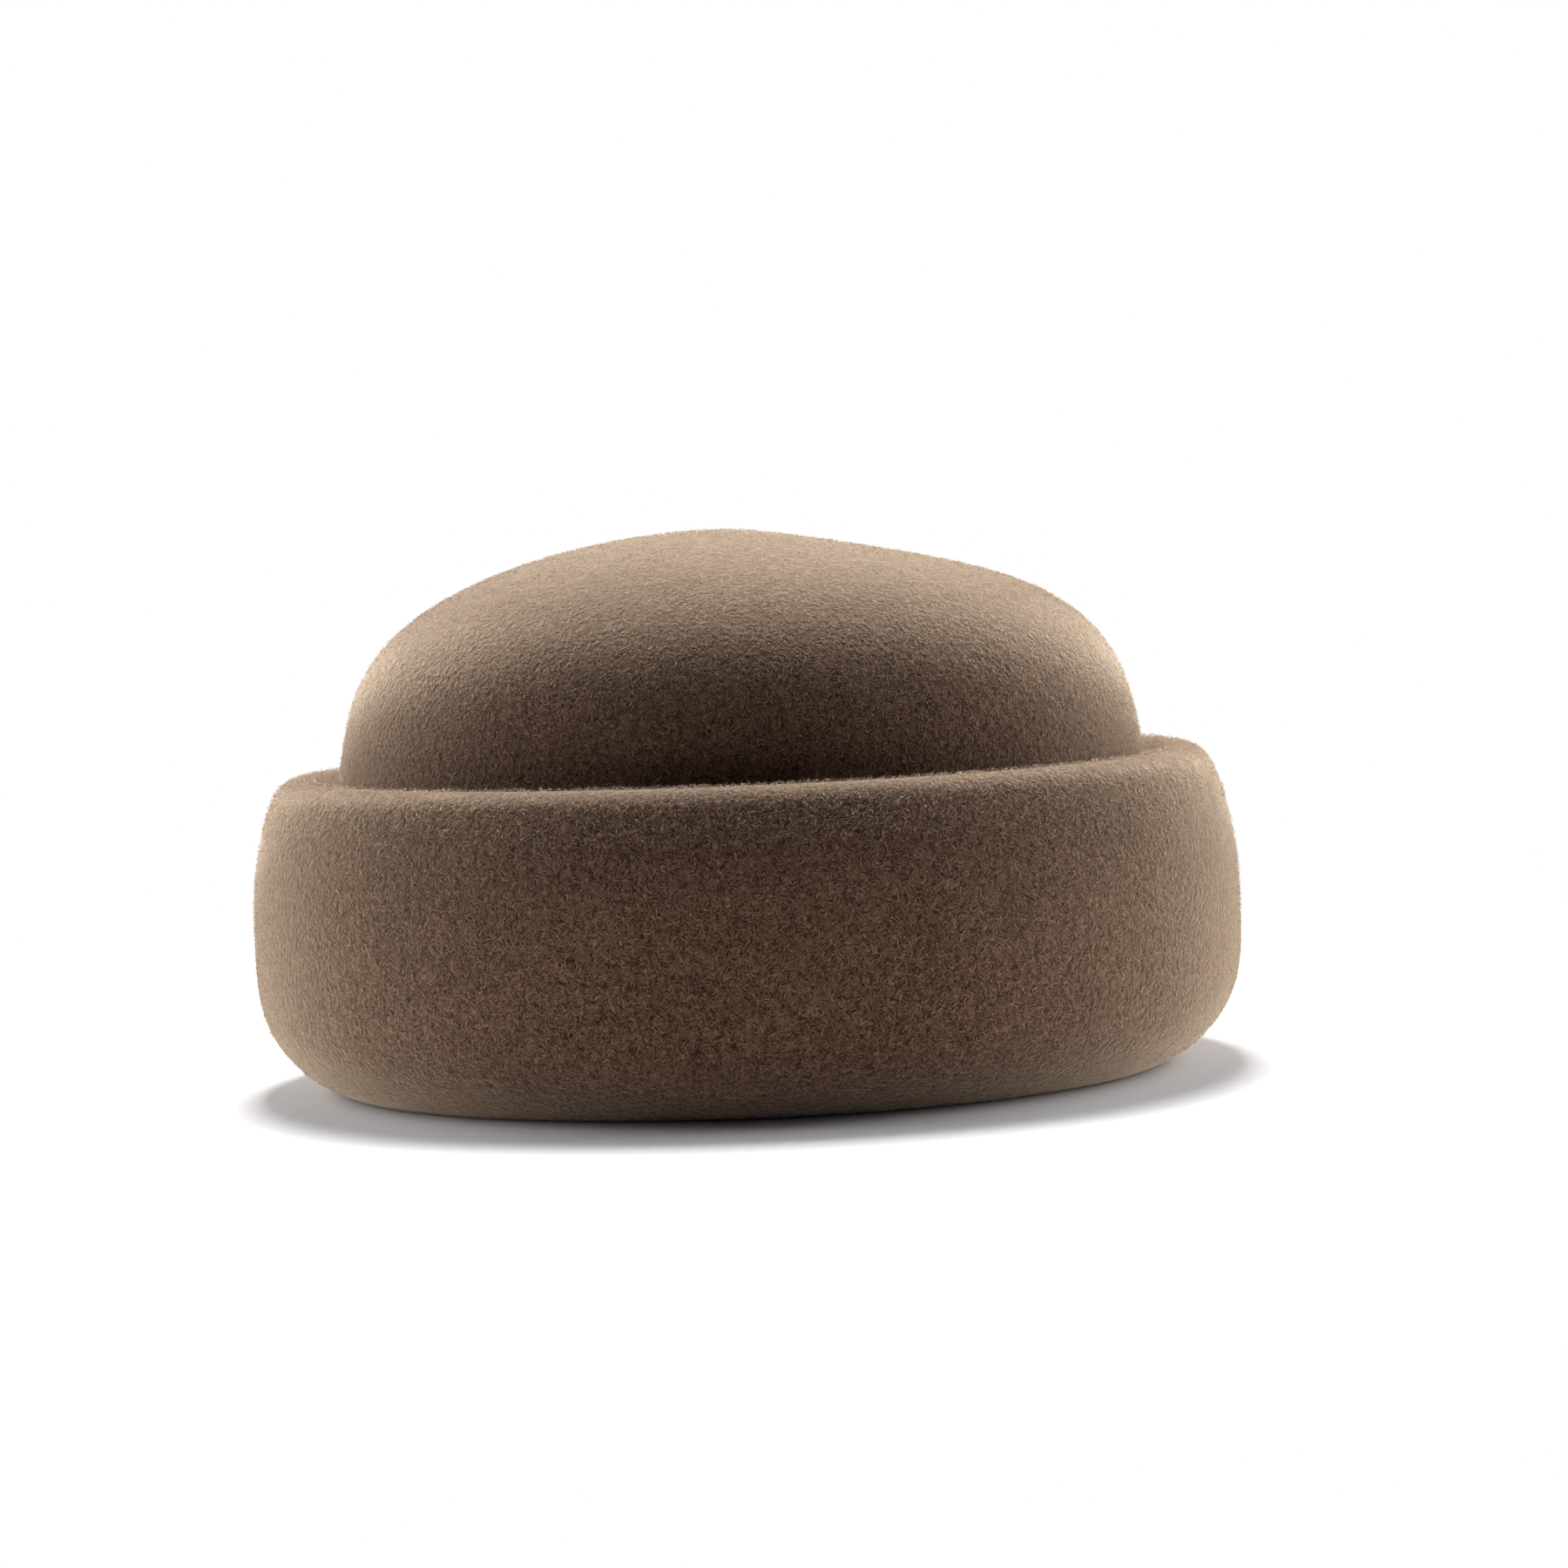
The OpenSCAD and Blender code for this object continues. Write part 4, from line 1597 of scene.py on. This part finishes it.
@dataclass(frozen=True)
class Bow(SubAssembly):
    """Small ribbon bow on the back seam: two loops pinched at the waist, and a knot round it."""

    length: float = 30 * MM
    ribbon_width: float = 8 * MM
    ribbon: float = 0.5 * MM
    puff: float = 2.6 * MM
    knot_width: float = 6 * MM
    middle: float = 30.2 * MM
    back: float = -0.9 * MM
    pinch: float = 0.22
    pinch_width: float = 0.3
    droop: float = 0.7 * MM
    gather: float = 0.13 * MM
    gather_width: float = 0.42
    folds: int = 3
    tip_softness: float = 0.02
    knot_square: float = 0.75
    knot_pull: float = 0.16
    rows: int = 120
    knot_rows: int = 64
    loop_steps: int = 13
    knot_steps: int = 17

    @property
    def waist(self) -> float:
        """Thickness of the two ribbons at the waist."""
        return 2 * self.ribbon + LAYERS.ease

    def build(self) -> None:
        """Loops, then the knot."""
        self.add("bow_ribbon", self.loops(), Closing.RING, Ribbon(), "bow_loops")
        self.add("bow_band", self.knot(), Closing.RING, Ribbon(), "bow_knot")

    def ribbon_section(self, width: float, steps: int) -> np.ndarray:
        """Section of the ribbon about its own middle: distance off its line and height."""
        half = (width - self.ribbon) / 2
        return slab((-self.ribbon / 2, self.ribbon / 2), np.linspace(half, -half, steps))

    def loops(self) -> np.ndarray:
        """Points of the loops: one ring of ribbon that bulges away from the band on both sides of its waist.

        Seen from above, the ring runs from tip to tip as a cosine, and its two sides are apart by the
        waist + the puff times half a sine wave between knot and tip.

        Returns:
            Rows x section points x 3.
        """
        phase = round_angles(self.rows)
        spot = np.cos(phase)
        side = np.sin(phase) / np.sqrt(np.sin(phase) ** 2 + self.tip_softness)
        knot_share = (self.knot_width + 2 * LAYERS.ease) / self.length
        swell = np.maximum(0, np.abs(spot) - knot_share) / (1 - knot_share)
        depth = self.waist + self.puff * np.sin(math.pi * swell)
        start = self.back - self.ribbon - LAYERS.ease
        reach = start - depth / 2 - side * (depth - self.ribbon) / 2
        line = HEAD.oval(reach, BACK + spot * HEAD.back_angle(self.length / 2))
        section = self.ribbon_section(self.ribbon_width, self.loop_steps)
        near = np.exp(-((spot / self.gather_width) ** 2))[:, None]
        folds = self.gather * near * np.sin(section[:, 1] / self.ribbon_width * self.folds * FULL_TURN)
        plan = line[:, None] + off_ring(line)[:, None] * (section[:, 0] + folds)[..., None]
        narrow = 1 - self.pinch * np.exp(-((spot / self.pinch_width) ** 2))[:, None]
        height = self.middle + section[:, 1] * narrow - self.droop * (spot**2)[:, None]
        return np.concatenate([plan, height[..., None]], axis=-1)

    def knot(self) -> np.ndarray:
        """Points of the knot: a rounded ring of ribbon round the waist, with pleats along it.

        Returns:
            Rows x section points x 3.
        """
        phase = round_angles(self.knot_rows)
        deep = self.waist + 2 * LAYERS.ease + self.ribbon
        tall = self.ribbon_width + 2 * LAYERS.ease + self.ribbon
        round_off = np.maximum(np.abs(np.cos(phase)), np.abs(np.sin(phase))) ** self.knot_square
        line = np.stack([deep / 2 * np.cos(phase), tall / 2 * np.sin(phase)], axis=1) / round_off[:, None]
        section = self.ribbon_section(self.knot_width, self.knot_steps)
        pleats = self.gather * np.cos(section[:, 1] / self.knot_width * self.folds * FULL_TURN)
        place = line[:, None] + off_ring(line)[:, None] * (section[:, 0] + pleats)[:, None]
        middle = HEAD.length / 2 + self.back - (deep + self.ribbon) / 2
        across = section[:, 1] * (1 - self.knot_pull * np.abs(np.cos(phase))[:, None])
        return np.stack([across, place[..., 0] + middle, place[..., 1] + self.middle], axis=-1)


@dataclass(frozen=True)
class Lining(SubAssembly):
    """Satin lining: a wall with soft gathers, a top, a twisted cord over their seam and tacks."""

    crown: Crown = field(default_factory=Crown)
    satin: float = 0.4 * MM
    foot: float = 17 * MM
    seam: float = 0.8
    seam_lap: float = 0.003
    gathers: int = 58
    gather_depth: float = 0.7 * MM
    gather_rise: float = 1.6
    sway: Waves = ((0.6, 3, 0.0), (0.5, 7, 1.0))
    cord_radius: float = 1.0 * MM
    cord_twists: int = 84
    cord_strands: int = 3
    strand_depth: float = 0.22
    wall_flat: tuple[float, float] = (0.093, 0.585)
    wall_area: float = 0.0505
    top_flat: tuple[float, float] = (0.156, 0.184)
    top_area: float = 0.0225
    rows: int = 40
    wall_columns: int = 464
    top_columns: int = 240
    cord_columns: int = 1344
    cord_sides: int = 15

    @property
    def depth(self) -> float:
        """Distance of the satin's outer face inside the crown's outer face."""
        return LAYERS.felt + LAYERS.ease

    def rise_at(self, height: float, depth: float) -> float:
        """Share of the crown's height at which a sunk face is at a height."""
        return (height - self.crown.base) / (self.crown.height - depth - self.crown.base)

    def ring_at(self, rise: float, depth: float, turn: np.ndarray) -> np.ndarray:
        """Points round the crown's form at one share of its height, sunk by a depth, turns x 3."""
        return self.crown.dome(depth, np.array([[self.crown.share_at(rise), rise]]), turn)[0]

    def build(self) -> None:
        """Wall, top, cord and tacks."""
        wall = self.add("lining_wall", self.wall(), Closing.RING, Satin(), "lining_side")
        top = self.add("lining_top", self.top(), Closing.CAPPED, Satin(), "lining_tip")
        lay_plan(top)
        self.add("lining_cord", self.cord(), Closing.RING, Cord(), "lining_piping")
        depth = self.depth + self.satin + STITCH.off
        turn = HEAD.even_turns(0.0, STITCH.pitch)
        middle = self.ring_at(self.rise_at(self.foot + STITCH.margin, depth), depth, turn)
        self.sew("lining_thread", middle, HEAD.heading(turn), -HEAD.outward(turn), "lining_stitches")

    def wall(self) -> np.ndarray:
        """Points of the wall: the crown's form sunk by a depth that swells inward in each gather.

        Returns:
            Rows x columns x 3, up the outer face and down the inner one.
        """
        turn = round_angles(self.wall_columns)
        first = self.rise_at(self.foot, self.depth)
        profile = self.crown.profile(first, self.crown.share_at(self.seam), self.rows)
        share = np.linspace(0, 1, self.rows)[:, None]
        swell = 0.5 + 0.5 * np.sin(self.gathers * turn + wave_sum(turn, self.sway))
        ripple = self.gather_depth * np.sin(math.pi * share**self.gather_rise) * swell
        outer = self.crown.dome(self.depth + ripple, profile, turn)
        inner = self.crown.dome(self.depth + self.satin + ripple, profile, turn)
        return np.concatenate([outer, inner[::-1]])

    def top(self) -> np.ndarray:
        """Points of the top: the crown's form from the seam to the middle.

        Returns:
            Rows x columns x 3, down the inner face and up the outer one.
        """
        turn = round_angles(self.top_columns)
        profile = self.crown.profile(self.seam + self.seam_lap, self.crown.pole, self.rows)
        inner = self.crown.dome(self.depth + self.satin, profile[::-1], turn)
        outer = self.crown.dome(self.depth, profile, turn)
        return np.concatenate([inner, outer])

    def cord(self) -> np.ndarray:
        """Points of the cord: a section of round strands that turns as it goes round the seam.

        Returns:
            Columns x sides x 3.
        """
        turn = round_angles(self.cord_columns)
        depth = self.depth + self.satin + LAYERS.ease + self.cord_radius
        line = self.ring_at(self.seam, depth, turn)
        out = unit(line * np.array([1.0, 1.0, 0.0]))
        over = np.broadcast_to(np.array([0.0, 0.0, 1.0]), out.shape)
        angle = round_angles(self.cord_sides)
        phase = self.cord_strands * angle - self.cord_twists * turn[:, None]
        strands = np.abs(np.cos(phase / 2))
        radius = self.cord_radius * (1 - self.strand_depth + self.strand_depth * strands)
        return tube(line, out, over, radius, self.cord_sides)


@dataclass(frozen=True)
class Ticket(SubAssembly):
    """Bare paper ticket tucked behind the sweatband, with round corners and a top that curls inward."""

    width: float = 18 * MM
    height: float = 24 * MM
    shown: float = 9 * MM
    paper: float = 0.3 * MM
    band_top: float = 48.2 * MM
    turn: float = math.radians(52)
    corner: float = 2.5 * MM
    corner_cut: float = 0.96
    curl: float = 1.6 * MM
    rows: int = 36
    columns: int = 15

    def build(self) -> None:
        """Rows up the ticket, each once round its two faces, and narrower where a corner is cut round."""
        rise = 0.5 - 0.5 * np.cos(np.linspace(0, math.pi, self.rows))
        low = self.band_top + self.shown - self.height
        height = (low + self.height * rise)[:, None]
        past = np.abs(rise - 0.5) * self.height - (self.height / 2 - self.corner)
        cut = self.corner - np.sqrt(np.maximum(0, self.corner**2 - np.maximum(0, past) ** 2))
        narrow = 1 - self.corner_cut * cut / (self.width / 2)
        half = HEAD.back_angle(self.width / 2) * narrow[:, None]
        spot = np.linspace(-1, 1, self.columns)
        curled = self.curl * (np.maximum(0, height - self.band_top) / self.shown) ** 2
        inner = LAYERS.leather + LAYERS.ease - curled
        faces = [
            HEAD.carried(inner, height, self.turn + half * spot),
            HEAD.carried(inner + self.paper, height, self.turn + half * spot[::-1]),
        ]
        self.add("paper_ticket", np.concatenate(faces, axis=1), Closing.CAPPED, Paper(), "size_ticket")


@dataclass(frozen=True)
class Lamp:
    """Square soft lamp: where it hangs, the length of its side and its power in watts."""

    name: str
    place: Triple
    size: float
    power: float

    def hang(self, target: Triple) -> None:
        """Hangs the lamp so that it faces a target.

        Args:
            target: The place that it faces.
        """
        data = bpy.data.lights.new(self.name, "AREA")
        data.size = self.size
        data.energy = self.power
        lamp = bpy.data.objects.new(self.name, data)
        lamp.location = self.place
        lamp.rotation_euler = (Vector(target) - Vector(self.place)).to_track_quat("-Z", "Y").to_euler()
        bpy.context.scene.collection.objects.link(lamp)


@dataclass(frozen=True)
class Studio:
    """Pale floor, soft lamps and the camera at the photograph's viewing angle."""

    frame_pixels: int = 1800
    focal_pixels: float = 5097
    target_pixel: tuple[float, float] = (853, 920)
    target: Triple = (0, 0, 67 * MM)
    distance: float = 1.1
    eye_height: float = 146.5 * MM
    roll: float = math.radians(2.39)
    sensor: float = 36.0
    floor_size: float = 12.0
    floor_drop: float = 0.2 * MM
    floor_colour: Triple = (0.86, 0.86, 0.86)
    floor_bounce: Triple = (0.95, 0.91, 0.86)
    floor_dark: Triple = (0.15, 0.15, 0.15)
    bounce_near: float = 0.13
    bounce_far: float = 0.5
    glow_near: float = 0.12
    glow_far: float = 0.45
    ambient: Triple = (0.017, 0.019, 0.042)
    lamps: tuple[Lamp, ...] = (
        Lamp("top_lamp", (-0.43, 0.0, 1.18), 0.45, 24.0),
        Lamp("front_side_lamp", (-0.35, -1.0, 0.35), 1.0, 15.5),
        Lamp("back_side_lamp", (-0.35, 1.0, 0.35), 1.0, 17.0),
        Lamp("rear_lamp", (-1.2, 0.0, 0.6), 1.6, 5.0),
    )

    def build(self) -> None:
        """Sets up the whole studio."""
        self.set_camera()
        self.lay_floor()
        self.fill_world()
        for lamp in self.lamps:
            lamp.hang(self.target)
        bpy.context.scene.view_settings.view_transform = "Standard"

    def set_camera(self) -> None:
        """Camera at the wearer's left, turned so that the target falls on its pixel."""
        eye = Vector((self.distance, 0.0, self.eye_height))
        ahead = (Vector(self.target) - eye).normalized()
        level = ahead.cross(Vector((0, 0, 1))).normalized()
        upright = level.cross(ahead)
        right = level * math.cos(self.roll) - upright * math.sin(self.roll)
        up = level * math.sin(self.roll) + upright * math.cos(self.roll)
        middle = self.frame_pixels / 2
        across = (self.target_pixel[0] - middle) / self.focal_pixels
        down = (self.target_pixel[1] - middle) / self.focal_pixels
        ahead = (ahead - right * across + up * down).normalized()
        right = (right - ahead * right.dot(ahead)).normalized()
        up = right.cross(ahead)
        data = bpy.data.cameras.new("photo_camera")
        data.sensor_width = self.sensor
        data.lens = self.focal_pixels / self.frame_pixels * self.sensor
        camera = bpy.data.objects.new("photo_camera", data)
        camera.matrix_world = Matrix.Translation(eye) @ Matrix((right, up, -ahead)).transposed().to_4x4()
        bpy.context.scene.collection.objects.link(camera)
        bpy.context.scene.camera = camera

    def lay_floor(self) -> None:
        """Pale floor that keeps the shadow near the hat and turns into the white backdrop further off."""
        half = self.floor_size / 2
        corners = [(-half, -half), (half, -half), (half, half), (-half, half)]
        points = np.array([(x, y, -self.floor_drop) for x, y in corners])
        floor = put_mesh("floor", points, [np.arange(4)[None]])
        floor.data.materials.append(self.floor_material())

    def floor_material(self) -> bpy.types.Material:
        """Matt pale surface, with a white glow for the eye that takes over with distance from the hat.

        Returns:
            The material.
        """
        material = bpy.data.materials.new("pale_floor")
        graph = Graph(material)
        seen = self.seen_rays(graph)
        away = graph.vector("LENGTH", graph.place(), output=Output.VALUE)
        off = graph.span(away, self.bounce_near, self.bounce_far, 0.0, 1.0)
        bounce = graph.blend(off, self.floor_bounce, self.floor_dark)
        colour = graph.blend(seen, bounce, self.floor_colour)
        surface = {"Base Color": colour, "Roughness": 0.9, "Specular IOR Level": 0.0}
        matt = graph.fill(graph.first("BSDF_PRINCIPLED"), surface)
        far = graph.span(away, self.glow_near, self.glow_far, 0.0, 1.0, Ease.SMOOTH)
        glow = graph.node("ShaderNodeEmission", {"Color": WHITE, "Strength": 1.0})
        shares = {0: graph.math("MULTIPLY", far, seen), 1: matt.outputs[0], 2: glow.outputs[0]}
        both = graph.node("ShaderNodeMixShader", shares)
        graph.fill(graph.first("OUTPUT_MATERIAL"), {"Surface": both.outputs[0]})
        return material

    def seen_rays(self, graph: Graph) -> Socket:
        """Picks the rays that show the backdrop: straight from the eye, mirrored or through glass.

        Args:
            graph: Nodes of the floor or the world.

        Returns:
            1 for these rays and 0 for others.
        """
        rays = graph.node("ShaderNodeLightPath", {}).outputs
        mirrored = graph.math("MAXIMUM", rays["Is Glossy Ray"], rays["Is Transmission Ray"])
        return graph.math("MAXIMUM", rays["Is Camera Ray"], mirrored)

    def fill_world(self) -> None:
        """Even soft light from all round, and white where the backdrop is seen."""
        world = bpy.data.worlds.new("studio")
        graph = Graph(world)
        level = graph.blend(self.seen_rays(graph), self.ambient, WHITE)
        graph.fill(graph.first("BACKGROUND"), {"Color": level})
        bpy.context.scene.world = world


def main() -> None:
    """Builds the hat and its studio, and reports each piece."""
    logging.basicConfig(level=logging.INFO, format="%(name)s: %(message)s")
    for part in (Crown(), Brim(), EdgeWire(), Sweatband(), Bow(), Lining(), Ticket()):
        part.build()
        for piece in part.pieces:
            LOG.info("%s: %d faces", piece.name, len(piece.data.polygons))
    Studio().build()


if __name__ == "__main__":
    main()
